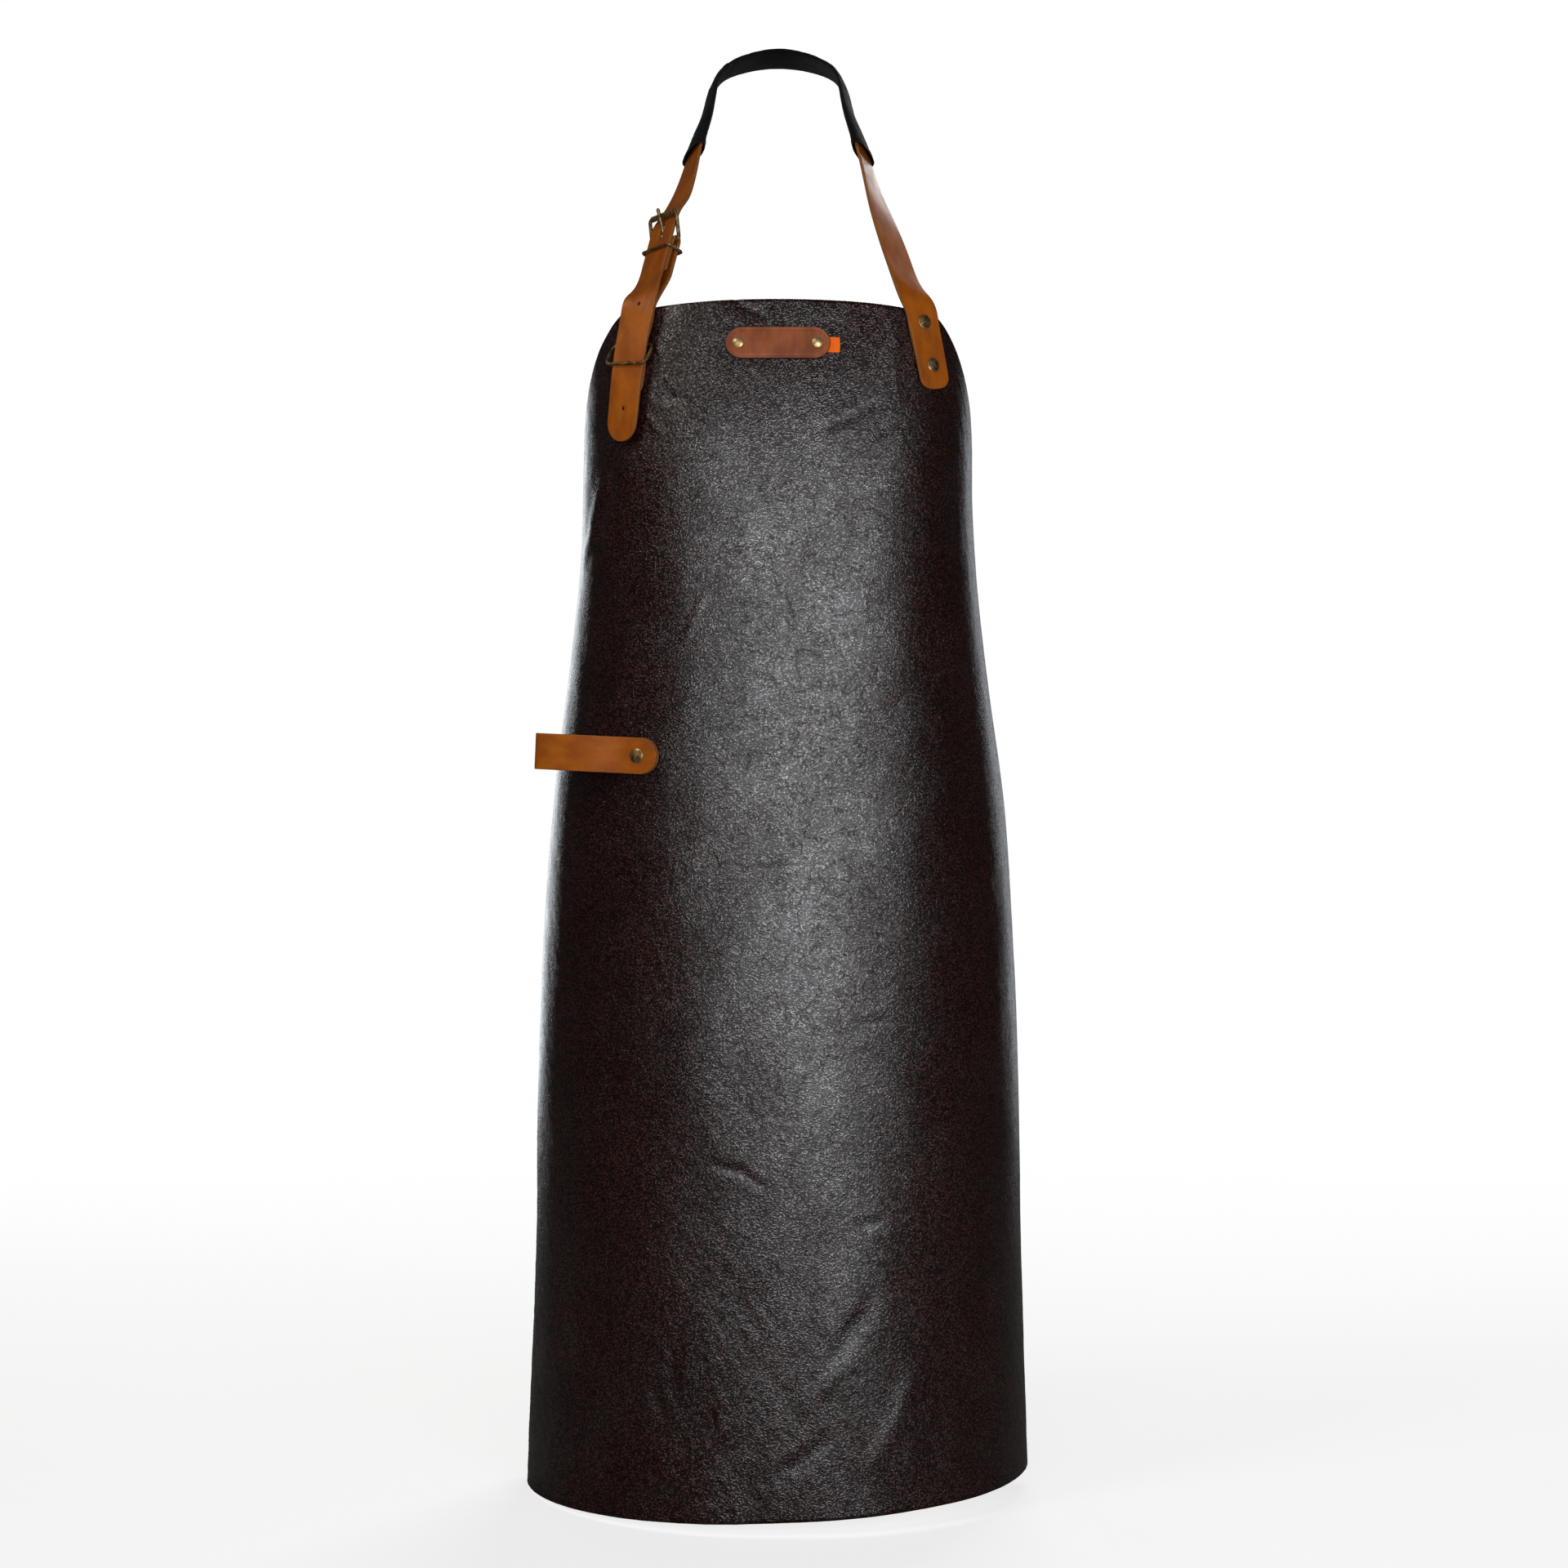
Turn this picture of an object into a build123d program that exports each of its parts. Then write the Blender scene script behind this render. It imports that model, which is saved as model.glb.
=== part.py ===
from build123d import *
from functools import lru_cache
import math
import os

import numpy as np

# A leather welding apron in the shape it takes on the wearer. Millimetres, +Z up, the wearer faces -Y.
# The origin is on the wearer's vertical axis, level with the lowest point of the hem.

# Leather
PANEL_THICKNESS = 1.6
STRAP_WIDTH = 30.0
STRAP_THICKNESS = 2.6

# The wearer's torso: each pair is a height and a size at that height
HALF_WIDTHS = ((0, 216), (240, 209), (470, 202), (590, 193), (710, 177), (810, 166.5),
               (910, 164.5), (1020, 160))
FRONT_LINE = ((0, -170), (400, -167), (700, -162), (890, -160), (1020, -141))
HALF_DEPTHS = ((0, 170), (470, 160), (710, 141), (890, 126), (1020, 118))
SQUARENESS = ((0, 2.0), (610, 2.15), (1020, 2.8))

# Panel outline, laid flat: distance from the centre line, height
HEM_HEIGHT = 8.0
HEM_SKEW = 8.0
HEM_FADE_HEIGHT = 400.0
HEM_CORNER_START = 285.0
HEM_CORNER_WIDTH = 60.0
HEM_CORNER_LIFT = 45.0
SIDE_HALF_WIDTH = 345.0
WAIST_CORNER_SOFTNESS = 4.0
ARMHOLE = ((135.0, 993.0), (195.0, 953.0), (342.0, 690.0))
BIB_CROWN = 8.0
CROWN_START_HEIGHT = 700.0

# Rivets: cap radius, cap height, post radius
STRAP_RIVET = (6.0, 2.0, 1.9)
BADGE_RIVET = (4.3, 1.8, 1.4)
CAP_RIM = 0.5
RIVET_BACK_THICKNESS = 1.0
RIVET_BACK_GAP = 0.35
RIVET_FIT = 0.05

# Straps on the bib, from the end up past the bib's edge: distance from the centre line, height and, on the
# wearer's right, how far the strap is lifted over the wire ring
STRAP_GAP = 0.4
STRAP_MIDDLE = PANEL_THICKNESS + STRAP_GAP + STRAP_THICKNESS / 2
CAP_GAP = 0.3
STRAP_FACE = PANEL_THICKNESS + STRAP_GAP + STRAP_THICKNESS + CAP_GAP
RIGHT_STRAP_FEET = ((134.5, 930.0), (130.0, 949.5), (125.7, 967.0), (121.5, 985.0), (119.4, 994.2))
RIGHT_RIVETS = ((130.0, 949.5), (121.5, 985.0))
LEFT_RIVETS = ((-124.0, 944.0), (-116.5, 988.0))
LEFT_RIVET_LIFT = 0.6
RING_PLACE = (-120.3, 966.0)
LEFT_STRAP_FEET = ((-127.5, 924.0, 0.0), (-124.0, 944.0, 0.0), (-122.2, 955.0, 1.5), (*RING_PLACE, 3.2),
                   (-118.4, 977.0, 1.5), (-116.5, 988.0, 0.0), (-115.3, 996.0, 0.1))

# Neck strap's middle line over the wearer's left side to the nape, and the way its outer face looks; then
# the same above the buckle
NECK_LINE = (
    ((111.5, -123.4, 1008.5), (0.57, -0.80, 0.10)),
    ((100.0, -105.5, 1041), (0.64, -0.69, 0.30)),
    ((89.2, -87.5, 1077), (0.69, -0.55, 0.46)),
    ((78.9, -69.0, 1114), (0.85, -0.35, 0.40)),
    ((69.8, -49.0, 1152), (0.89, -0.26, 0.38)),
    ((61.0, -26.0, 1185), (0.92, -0.20, 0.34)),
    ((56.5, -4.0, 1211), (0.91, -0.11, 0.41)),
    ((44.0, 24.0, 1234), (0.66, 0.0, 0.75)),
    ((24.0, 43.0, 1247), (0.28, 0.18, 0.94)),
    ((0.0, 50.0, 1252), (0.0, 0.2, 0.98)),
)
ABOVE_BUCKLE = (
    ((-69.8, -50.0, 1150), (-0.89, -0.28, 0.37)),
    ((-78.6, -70.0, 1112), (-0.79, -0.42, 0.44)),
    ((-86.6, -86.0, 1089), (-0.69, -0.50, 0.51)),
)
MIRRORED_STATIONS = 4

# Buckles and wire loops. A buckle's own axes: x across the strap, y along it, z out of its face
NECK_BUCKLE_FOOT = (-112.0, -126.0, 996.5)
NECK_BUCKLE_UP = (20.0, 27.0, 85.0)
NECK_BUCKLE_ACROSS = (1.0, -1.15)
NECK_BUCKLE_RISE = 65.0
NECK_STRAIGHT_ABOVE = 15.0
NECK_STRAIGHT_BELOW = 30.0
WAIST_STRAIGHT = (30.0, -35.0)
BUCKLE_WIRE = 1.6
BUCKLE_INSIDE_WIDTH = 32.0
BUCKLE_LENGTH = 24.0
BUCKLE_CORNER = 3.0
HEEL_DEPTH = 6.0
ROLLER_RISE = 3.95
ROLLER_RADIUS = 2.4
ROLLER_LENGTH = 28.0
RUNNING_FIT = 0.05
FOLD_FIT = 0.1
PRONG_RADIUS = 1.5
PRONG_LOOP_RADIUS = 3.1
PRONG_LOOP_WIDTH = 3.4
PRONG_TIP = 1.2
PRONG_OVERHANG = 5.0
PRONG_SLOT = (15.0, 4.0)
PRONG_SLOT_RISE = 8.4
FOLD_SLOT_MIDDLE = 3.0
FOLD_LEG = 30.0
KEEPER_WIRE = 1.3
KEEPER_PLACE = -9.0
KEEPER_INSIDE = (32.0, 12.6)
RING_WIRE = 1.3
RING_CENTRELINE = (40.6, 20.4)
RING_CORNER = 6.0
RING_SHIFT = -2.5
RING_DROP = 18.0
RING_FRONT = 12.4
HOLE_RADIUS = 1.8
TAIL_LINE = ((-111.8, 998.0, 9.6), (-114.6, 985.0, 9.5), (-118.9, 963.0, 9.4), (-124.4, 928.0, 8.6),
             (-128.4, 903.0, 7.4), (-132.0, 886.0, 6.4))
TAIL_HOLES = (-68.0, -118.0, -155.0)

# Neck sleeve
SLEEVE_WIDTH = 36.0
SLEEVE_HEIGHT = 6.4
SLEEVE_BORE = (31.6, 4.2)
SLEEVE_FROM_HEIGHT = 1140.0

# Badge and side tab
BADGE_LENGTH = 85.0
BADGE_HEIGHT = 26.5
BADGE_THICKNESS = 2.4
BADGE_CENTRE = 963.5
BADGE_RIVET_SPACING = 64.0
TAB_HEIGHT = 12.6
TAB_THICKNESS = 0.9
LAYER_GAP = 0.1
BADGE_SEAT = PANEL_THICKNESS + TAB_THICKNESS + 2 * LAYER_GAP
TAB_REACH = 50.5
TAB_ROOT = 18.0

# Towel loop
TOWEL_RIVET = (-116.0, 628.0)
TOWEL_LOOP_LENGTH = 112.0
TOWEL_LOOP_OVERHANG = 18.0
TOWEL_LOOP_FOLD = 6.5
TOWEL_LOOP_TILT = 2.7

# Waist belt: distances round the torso from the front centre line
WAIST_HEIGHT = 690.0
WAIST_STRAP_END = 296.0
WAIST_BACK_LEG = 460.0
WAIST_RIVETS = (306.0, 326.0)
WAIST_BUCKLE = 505.0
WAIST_BUCKLE_OUT = 11.8
WAIST_TAIL = ((452.0, 12.0), (436.0, 10.2), (420.0, 9.4), (404.0, 9.2), (388.0, 9.2))


def through(knots, values, at):
    """Natural cubic spline through the values at the knots."""
    k = np.asarray(knots, float)
    v = np.asarray(values, float).reshape(len(k), -1)
    h = np.diff(k)
    system = np.eye(len(k))
    right = np.zeros_like(v)
    for i in range(1, len(k) - 1):
        system[i, i - 1:i + 2] = h[i - 1], 2 * (h[i - 1] + h[i]), h[i]
        right[i] = 6 * ((v[i + 1] - v[i]) / h[i] - (v[i] - v[i - 1]) / h[i - 1])
    bend = np.linalg.solve(system, right)
    x = np.atleast_1d(np.asarray(at, float))
    i = np.clip(np.searchsorted(k, x) - 1, 0, len(k) - 2)
    before = (x - k[i])[:, None]
    after = (k[i + 1] - x)[:, None]
    step = h[i][:, None]
    cubic = (bend[i] * after**3 + bend[i + 1] * before**3) / (6 * step)
    cubic += (v[i] / step - bend[i] * step / 6) * after
    return cubic + (v[i + 1] / step - bend[i + 1] * step / 6) * before


def unit(vector):
    return np.asarray(vector, float) / np.linalg.norm(vector)


def at_height(stops, z):
    return through([a for a, b in stops], [b for a, b in stops], z)[0, 0]


@lru_cache(maxsize=None)
def torso_section(z):
    """Distances along the torso from the front centre line, and the x and y there: a superellipse."""
    half_width, front, half_depth, squareness = (
        at_height(stops, z) for stops in (HALF_WIDTHS, FRONT_LINE, HALF_DEPTHS, SQUARENESS)
    )
    turn = np.linspace(0, math.pi, 721)
    power = 2 / squareness
    x = half_width * np.sin(turn) ** power
    y = front + half_depth * (1 - np.sign(np.cos(turn)) * np.abs(np.cos(turn)) ** power)
    along = np.concatenate([[0], np.cumsum(np.hypot(np.diff(x), np.diff(y)))])
    return along, x, y


def on_torso(s, z):
    along, x, y = torso_section(round(float(z), 4))
    reach = abs(s)
    side = 1.0 if s >= 0 else -1.0
    if reach > along[-1]:
        reach = 2 * along[-1] - reach
        side = -side
    return np.array([side * np.interp(reach, along, x), np.interp(reach, along, y), z])


def torso_normal(s, z):
    step = 2.0
    across = on_torso(s + step, z) - on_torso(s - step, z)
    up = on_torso(s, z + step) - on_torso(s, z - step)
    return unit(np.cross(across, up))


def skin(s, z, out=0.0):
    """Point a given distance outside the torso, s along it from the centre line, at height z."""
    return on_torso(s, z) + out * torso_normal(s, z)


def skin_plane(s, z, out=0.0):
    across = on_torso(s + 1, z) - on_torso(s - 1, z)
    return Plane(Vector(*skin(s, z, out)), x_dir=Vector(*across), z_dir=Vector(*torso_normal(s, z)))


def slab(outer, inner):
    """Closed solid between two grids of points."""
    faces = [Face.make_surface_from_array_of_points([[Vector(*p) for p in row] for row in grid])
             for grid in (outer, inner)]
    sides = []
    for edge in faces[0].edges():
        partner = min(faces[1].edges(), key=lambda other: (other.center() - edge.center()).length)
        sides.append(Face.make_surface_from_curves(edge, partner))
    solid = Solid(Shell(faces + sides))
    return solid if solid.volume > 0 else Solid(Shell([-face for face in faces + sides]))


def ribbon_frames(points, normals, count):
    """Centre, width direction and normal at evenly spaced stations along a smooth path."""
    points = np.asarray(points, float)
    reach = np.concatenate([[0], np.cumsum(np.linalg.norm(np.diff(points, axis=0), axis=1))])
    stations = np.linspace(0, reach[-1], count)
    centres = through(reach, points, stations)
    tangents = np.gradient(centres, axis=0)
    facing = through(reach, normals, stations)
    frames = []
    for centre, tangent, normal in zip(centres, tangents, facing):
        tangent = unit(tangent)
        normal = unit(normal - tangent * (normal @ tangent))
        frames.append((centre, np.cross(tangent, normal), normal))
    return frames


def ribbon(frames, width, thickness):
    """Flat strap of rectangular section through the frames."""
    columns = (-0.5, 0.0, 0.5)
    outer = [[c + w * width * u + n * thickness / 2 for u in columns] for c, w, n in frames]
    inner = [[c + w * width * u - n * thickness / 2 for u in columns] for c, w, n in frames]
    return slab(outer, inner)


def end_plane(frames, last):
    """Plane at a strap's end: x across the strap, y out past its end, z out of its face."""
    centre, across, normal = frames[-1] if last else frames[0]
    outward = np.cross(normal, across)
    inside = (frames[-4] if last else frames[3])[0]
    if outward @ (centre - inside) < 0:
        across = -across
    return Plane(Vector(*centre), x_dir=Vector(*across), z_dir=Vector(*normal))


def rounded_end(strap, frames, last, radius):
    """The strap with the corners of one end rounded off."""
    half = STRAP_WIDTH / 2
    tip = Pos(0, -radius) * Rectangle(STRAP_WIDTH + 4, 2 * radius + 1)
    tip -= Pos(0, -half) * RectangleRounded(STRAP_WIDTH, STRAP_WIDTH, min(radius, half - 0.01))
    tip -= Pos(0, -3 * half) * Rectangle(STRAP_WIDTH, 2 * STRAP_WIDTH)
    return strap - extrude(end_plane(frames, last) * tip, amount=8, both=True)


def hole(plane, radius, depth=12.0):
    return extrude(plane * Circle(radius), amount=depth, both=True)


def armhole_half_width(z):
    """Half width of the bib at a height, from the armhole's curve."""
    (s0, z0), (s1, z1), (s2, z2) = ARMHOLE
    if z <= z2:
        return s2 + (z2 - z) * (s2 - s1) / (z1 - z2)
    t = np.linspace(0, 1, 201)
    heights = z0 * (1 - t) ** 2 + 2 * z1 * t * (1 - t) + z2 * t**2
    widths = s0 * (1 - t) ** 2 + 2 * s1 * t * (1 - t) + s2 * t**2
    return float(np.interp(-z, -heights, widths))


def panel_half_width(z):
    k = WAIST_CORNER_SOFTNESS
    sides = np.array([SIDE_HALF_WIDTH, armhole_half_width(z)])
    return float(sides.min() - k * math.log(np.exp((sides.min() - sides) / k).sum()))


def panel_height(u, level):
    """Height of the panel's point at share u of the half width, on the row whose own height is level."""
    s = u * panel_half_width(level)
    crown_share = max(0.0, (level - CROWN_START_HEIGHT) / (ARMHOLE[0][1] - CROWN_START_HEIGHT)) ** 2
    hem_share = max(0.0, 1 - (level - HEM_HEIGHT) / HEM_FADE_HEIGHT) ** 2
    lift = HEM_CORNER_LIFT * max(0.0, (abs(s) - HEM_CORNER_START) / HEM_CORNER_WIDTH) ** 2.5
    skew = HEM_SKEW * on_torso(s, 0)[0] / HALF_WIDTHS[0][1]
    return level + BIB_CROWN * (1 - u * u) * crown_share + (lift + skew) * hem_share


def make_panel():
    shares = np.linspace(-1, 1, 45)
    lower = np.linspace(HEM_HEIGHT, 640, 24)
    upper = np.linspace(660, ARMHOLE[0][1], 30)
    outer, inner = [], []
    for level in np.concatenate([lower, upper]):
        half = panel_half_width(level)
        outer.append([skin(u * half, panel_height(u, level), PANEL_THICKNESS) for u in shares])
        inner.append([skin(u * half, panel_height(u, level)) for u in shares])
    return slab(outer, inner)


def neck_buckle_plane():
    """Plane of the neck strap's middle above the buckle's heel bar."""
    up = unit(NECK_BUCKLE_UP)
    across = np.array([*NECK_BUCKLE_ACROSS, 0.0])
    across = unit(across - np.array([0, 0, (across @ up) / up[2]]))
    heel = np.array(NECK_BUCKLE_FOOT) + NECK_BUCKLE_RISE * up
    return Plane(Vector(*heel), x_dir=Vector(*across), z_dir=Vector(*np.cross(across, up)))


def waist_buckle_plane():
    back = skin_plane(WAIST_BUCKLE, WAIST_HEIGHT, WAIST_BUCKLE_OUT)
    return Plane(back.origin, x_dir=Vector(0, 0, -1), z_dir=back.z_dir)


def in_plane(plane, x, y, z):
    return np.array(tuple(plane.from_local_coords((x, y, z))))


def neck_strap_frames():
    """From the wearer's left bib rivets, round the nape, down through the buckle to the free end."""
    plane = neck_buckle_plane()
    face = np.array(tuple(plane.z_dir))
    stations = [(skin(s, z, STRAP_MIDDLE), torso_normal(s, z)) for s, z in RIGHT_STRAP_FEET]
    stations += list(NECK_LINE)
    for (x, y, z), (nx, ny, nz) in NECK_LINE[-2:-2 - MIRRORED_STATIONS:-1]:
        stations.append(((-x, y, z), (-nx, ny, nz)))
    stations += list(ABOVE_BUCKLE)
    for along in np.arange(NECK_STRAIGHT_ABOVE, -NECK_STRAIGHT_BELOW - 1, -7.5):
        stations.append((in_plane(plane, 0, along, 0), face))
    stations += [(skin(s, z, out), torso_normal(s, z)) for s, z, out in TAIL_LINE]
    return ribbon_frames([p for p, n in stations], [n for p, n in stations], 170)


def fold_stations(plane):
    """Strap round the heel bar: back leg up, half turn, front leg down."""
    radius = BUCKLE_WIRE + FOLD_FIT + STRAP_THICKNESS / 2
    stations = []
    for along in (-32, -24, -16, -8, 0):
        stations.append((0, along, -HEEL_DEPTH - radius, 0, 1))
    for turn in np.radians((30, 60, 90, 120, 150)):
        stations.append((0, radius * math.sin(turn), -HEEL_DEPTH - radius * math.cos(turn),
                         -math.sin(turn), math.cos(turn)))
    for along in (0, -8, -16, -24, -FOLD_LEG):
        stations.append((0, along, -HEEL_DEPTH + radius, 0, -1))
    centre = np.array(tuple(plane.origin))
    return [(in_plane(plane, x, y, z), in_plane(plane, 0, ny, nz) - centre) for x, y, z, ny, nz in stations]


def folded_strap(stations, count):
    frames = ribbon_frames([p for p, n in stations], [n for p, n in stations], count)
    return frames, ribbon(frames, STRAP_WIDTH, STRAP_THICKNESS)


def prong_slot(plane):
    return plane * Pos(0, FOLD_SLOT_MIDDLE, -HEEL_DEPTH) * Box(PRONG_SLOT[1], PRONG_SLOT[0] + 1, 14)


def buckle_frame_location(plane):
    lean = math.degrees(math.asin((HEEL_DEPTH + ROLLER_RISE) / BUCKLE_LENGTH))
    return plane.location * Pos(0, 0, -HEEL_DEPTH) * Rot(lean, 0, 0)


def wire_loop(width, length, corner, wire_radius):
    """Closed loop of round wire in its own XY plane, centred."""
    path = RectangleRounded(width, length, corner).wire()
    start = Plane(path @ 0, z_dir=path % 0)
    return sweep(start * Circle(wire_radius), path=path)


def across_rod(radius, length):
    return Rot(0, 90, 0) * Cylinder(radius, length)


def make_buckle(plane):
    """Frame, roller and prong of a roller buckle."""
    place = buckle_frame_location(plane)
    width = BUCKLE_INSIDE_WIDTH + 2 * BUCKLE_WIRE
    frame = Pos(0, BUCKLE_LENGTH / 2, 0) * wire_loop(width, BUCKLE_LENGTH, BUCKLE_CORNER, BUCKLE_WIRE)
    roller = across_rod(ROLLER_RADIUS, ROLLER_LENGTH)
    roller -= across_rod(BUCKLE_WIRE + RUNNING_FIT, ROLLER_LENGTH + 1)
    rest = math.degrees(math.asin((ROLLER_RADIUS + PRONG_RADIUS + RUNNING_FIT) / BUCKLE_LENGTH))
    reach = BUCKLE_LENGTH + PRONG_OVERHANG
    arm = Pos(0, reach / 2 + 1, 0) * Rot(90, 0, 0) * Cylinder(PRONG_RADIUS, reach - 2)
    arm += Pos(0, reach + PRONG_TIP / 2, 0) * Rot(-90, 0, 0) * Cone(PRONG_RADIUS, PRONG_RADIUS / 2, PRONG_TIP)
    prong = Rot(rest, 0, 0) * (arm + across_rod(PRONG_LOOP_RADIUS, PRONG_LOOP_WIDTH))
    prong -= across_rod(BUCKLE_WIRE + RUNNING_FIT, 2 * PRONG_LOOP_WIDTH)
    return place * frame, place * Pos(0, BUCKLE_LENGTH, 0) * roller, place * prong


def make_keeper(plane):
    """Rectangular wire loop round the strap and both legs of the folded strap."""
    width, height = (size + 2 * KEEPER_WIRE for size in KEEPER_INSIDE)
    top = STRAP_THICKNESS / 2 + KEEPER_WIRE + RUNNING_FIT + 0.3
    place = plane.location * Pos(0, KEEPER_PLACE, top - height / 2) * Rot(90, 0, 0)
    return place * wire_loop(width, height, 2.0, KEEPER_WIRE)


def rivet(plane, sizes, grip):
    """Domed cap on a post, and the round back plate it is set into. The plane lies on the cap's seat."""
    cap_radius, cap_height, post_radius = sizes
    crown = cap_height - CAP_RIM
    sphere = (cap_radius**2 + crown**2) / (2 * crown)
    cap = Pos(0, 0, cap_height / 2) * Cylinder(cap_radius, cap_height)
    cap &= Pos(0, 0, cap_height - sphere) * Sphere(sphere)
    depth = grip + RIVET_BACK_GAP
    length = depth + RIVET_BACK_THICKNESS
    cap += Pos(0, 0, -length / 2) * Cylinder(post_radius, length)
    back = Pos(0, 0, -depth - RIVET_BACK_THICKNESS / 2) * Cylinder(cap_radius - 1, RIVET_BACK_THICKNESS)
    back -= Pos(0, 0, -length / 2) * Cylinder(post_radius + RIVET_FIT, length + 1)
    return plane.location * cap, plane.location * back


def rivets(places, sizes, seat):
    pairs = [rivet(skin_plane(s, z, seat), sizes, seat) for s, z in places]
    return Compound([cap for cap, back in pairs]), Compound([back for cap, back in pairs])


def rivet_holes(places, sizes):
    return [hole(skin_plane(s, z), sizes[2] + RIVET_FIT) for s, z in places]


def make_neck_strap():
    frames = neck_strap_frames()
    strap = ribbon(frames, STRAP_WIDTH, STRAP_THICKNESS)
    strap = rounded_end(strap, frames, False, 11)
    strap = rounded_end(strap, frames, True, 15)
    for cut in rivet_holes(RIGHT_RIVETS, STRAP_RIVET):
        strap -= cut
    plane = neck_buckle_plane()
    slot_plane = plane * Pos(0, PRONG_SLOT_RISE, 0) * Rot(0, 0, 90)
    strap -= extrude(slot_plane * SlotOverall(*PRONG_SLOT), amount=5, both=True)
    centres = np.array([centre for centre, across, normal in frames])
    reach = np.concatenate([[0], np.cumsum(np.linalg.norm(np.diff(centres, axis=0), axis=1))])
    heel = reach[np.argmin(np.linalg.norm(centres - np.array(tuple(plane.origin)), axis=1))]
    for along in TAIL_HOLES:
        centre, across, normal = frames[int(np.argmin(np.abs(reach - heel + along)))]
        strap -= hole(Plane(Vector(*centre), x_dir=Vector(*across), z_dir=Vector(*normal)), HOLE_RADIUS, 4)
    return strap


def make_neck_sleeve():
    frames = neck_strap_frames()
    heights = [centre[2] for centre, across, normal in frames]
    inside = [i for i, z in enumerate(heights) if z > SLEEVE_FROM_HEIGHT]
    first, last = inside[0], inside[-1]
    tube = ribbon(frames[first:last + 1], SLEEVE_WIDTH, SLEEVE_HEIGHT)
    return tube - ribbon(frames[first - 3:last + 4], *SLEEVE_BORE)


def make_buckle_strap():
    stations = [(skin(s, z, STRAP_MIDDLE + lift), torso_normal(s, z)) for s, z, lift in LEFT_STRAP_FEET]
    plane = neck_buckle_plane()
    stations += fold_stations(plane)
    frames, strap = folded_strap(stations, 90)
    strap = rounded_end(strap, frames, False, 11)
    for cut in rivet_holes(LEFT_RIVETS, STRAP_RIVET):
        strap -= cut
    return strap - prong_slot(plane)


def make_tail_ring():
    """Oval wire ring hanging round the strap's free end and behind the riveted strap."""
    s, z = RING_PLACE
    back = skin(s, z, PANEL_THICKNESS + RING_WIRE + 0.15)
    front = skin(s + RING_SHIFT, z - RING_DROP, RING_FRONT)
    along = unit(front - back)
    across = on_torso(s + 1, z) - on_torso(s - 1, z)
    across = unit(across - along * (across @ along))
    middle = back + along * RING_CENTRELINE[1] / 2
    plane = Plane(Vector(*middle), x_dir=Vector(*across), z_dir=Vector(*np.cross(across, along)))
    return plane.location * wire_loop(*RING_CENTRELINE, RING_CORNER, RING_WIRE)


def skin_block(s0, s1, z0, z1, out0, out1):
    columns = np.linspace(s0, s1, 13)
    rows = np.linspace(z0, z1, 5)
    outer = [[skin(s, z, out1) for s in columns] for z in rows]
    inner = [[skin(s, z, out0) for s in columns] for z in rows]
    return slab(outer, inner)


def make_badge():
    margin = 3.0
    half = BADGE_LENGTH / 2 + margin
    low = BADGE_CENTRE - BADGE_HEIGHT / 2 - margin
    high = BADGE_CENTRE + BADGE_HEIGHT / 2 + margin
    block = skin_block(-half, half, low, high, BADGE_SEAT, BADGE_SEAT + BADGE_THICKNESS)
    facing = Plane((0, -200, BADGE_CENTRE), x_dir=(1, 0, 0), z_dir=(0, -1, 0))
    outline = facing * SlotOverall(BADGE_LENGTH, BADGE_HEIGHT)
    badge = block & extrude(outline, amount=-100)
    for cut in rivet_holes(badge_rivet_places(), BADGE_RIVET):
        badge -= cut
    return badge


def badge_rivet_places():
    return tuple((side * BADGE_RIVET_SPACING / 2, BADGE_CENTRE) for side in (-1, 1))


def make_side_tab():
    half = TAB_HEIGHT / 2
    tab = skin_block(TAB_ROOT, TAB_REACH, BADGE_CENTRE - half - 1, BADGE_CENTRE + half - 1,
                     PANEL_THICKNESS + LAYER_GAP, PANEL_THICKNESS + LAYER_GAP + TAB_THICKNESS)
    for cut in rivet_holes(badge_rivet_places(), BADGE_RIVET):
        tab -= cut
    return tab


def towel_plane():
    plane = skin_plane(*TOWEL_RIVET, PANEL_THICKNESS)
    return Plane(plane.location * Rot(0, 0, -TOWEL_LOOP_TILT))


def make_towel_loop():
    """Strap folded back on itself, both ends under one rivet, standing off the panel."""
    plane = towel_plane()
    half = STRAP_THICKNESS / 2
    lower, upper = half + 0.15, 3 * half + 0.2
    near = TOWEL_LOOP_OVERHANG
    far = near - TOWEL_LOOP_LENGTH
    fold = TOWEL_LOOP_FOLD
    outline = [(near, lower, 0, -1), (8, lower, 0, -1), (0, lower, 0, -1), (-8, lower, 0, -1),
               (-40, lower + 0.6, 0, -1), (-70, lower + 1, 0, -1), (far + fold, lower + 1, 0, -1)]
    middle = lower + 1 + fold
    for turn in np.radians((30, 60, 90, 120, 150)):
        outline.append((far + fold - fold * math.sin(turn), middle - fold * math.cos(turn), -math.sin(turn),
                        -math.cos(turn)))
    outline += [(far + fold, middle + fold, 0, 1), (-70, middle + fold - 0.8, 0, 1), (-40, upper + 6.5, 0, 1),
                (-14, upper + 0.6, 0, 1), (-6, upper, 0, 1), (0, upper, 0, 1), (8, upper, 0, 1),
                (near, upper, 0, 1)]
    centre = np.array(tuple(plane.origin))
    stations = [(in_plane(plane, x, 0, z), in_plane(plane, nx, 0, nz) - centre) for x, z, nx, nz in outline]
    frames, loop = folded_strap(stations, 110)
    for last in (False, True):
        loop = rounded_end(loop, frames, last, 14.9)
    return loop - hole(plane, STRAP_RIVET[2] + RUNNING_FIT)


def waist_rivet_places(side):
    return tuple((side * s, WAIST_HEIGHT) for s in WAIST_RIVETS)


def belt_station(s, out):
    return skin(s, WAIST_HEIGHT, out), torso_normal(s, WAIST_HEIGHT)


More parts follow.
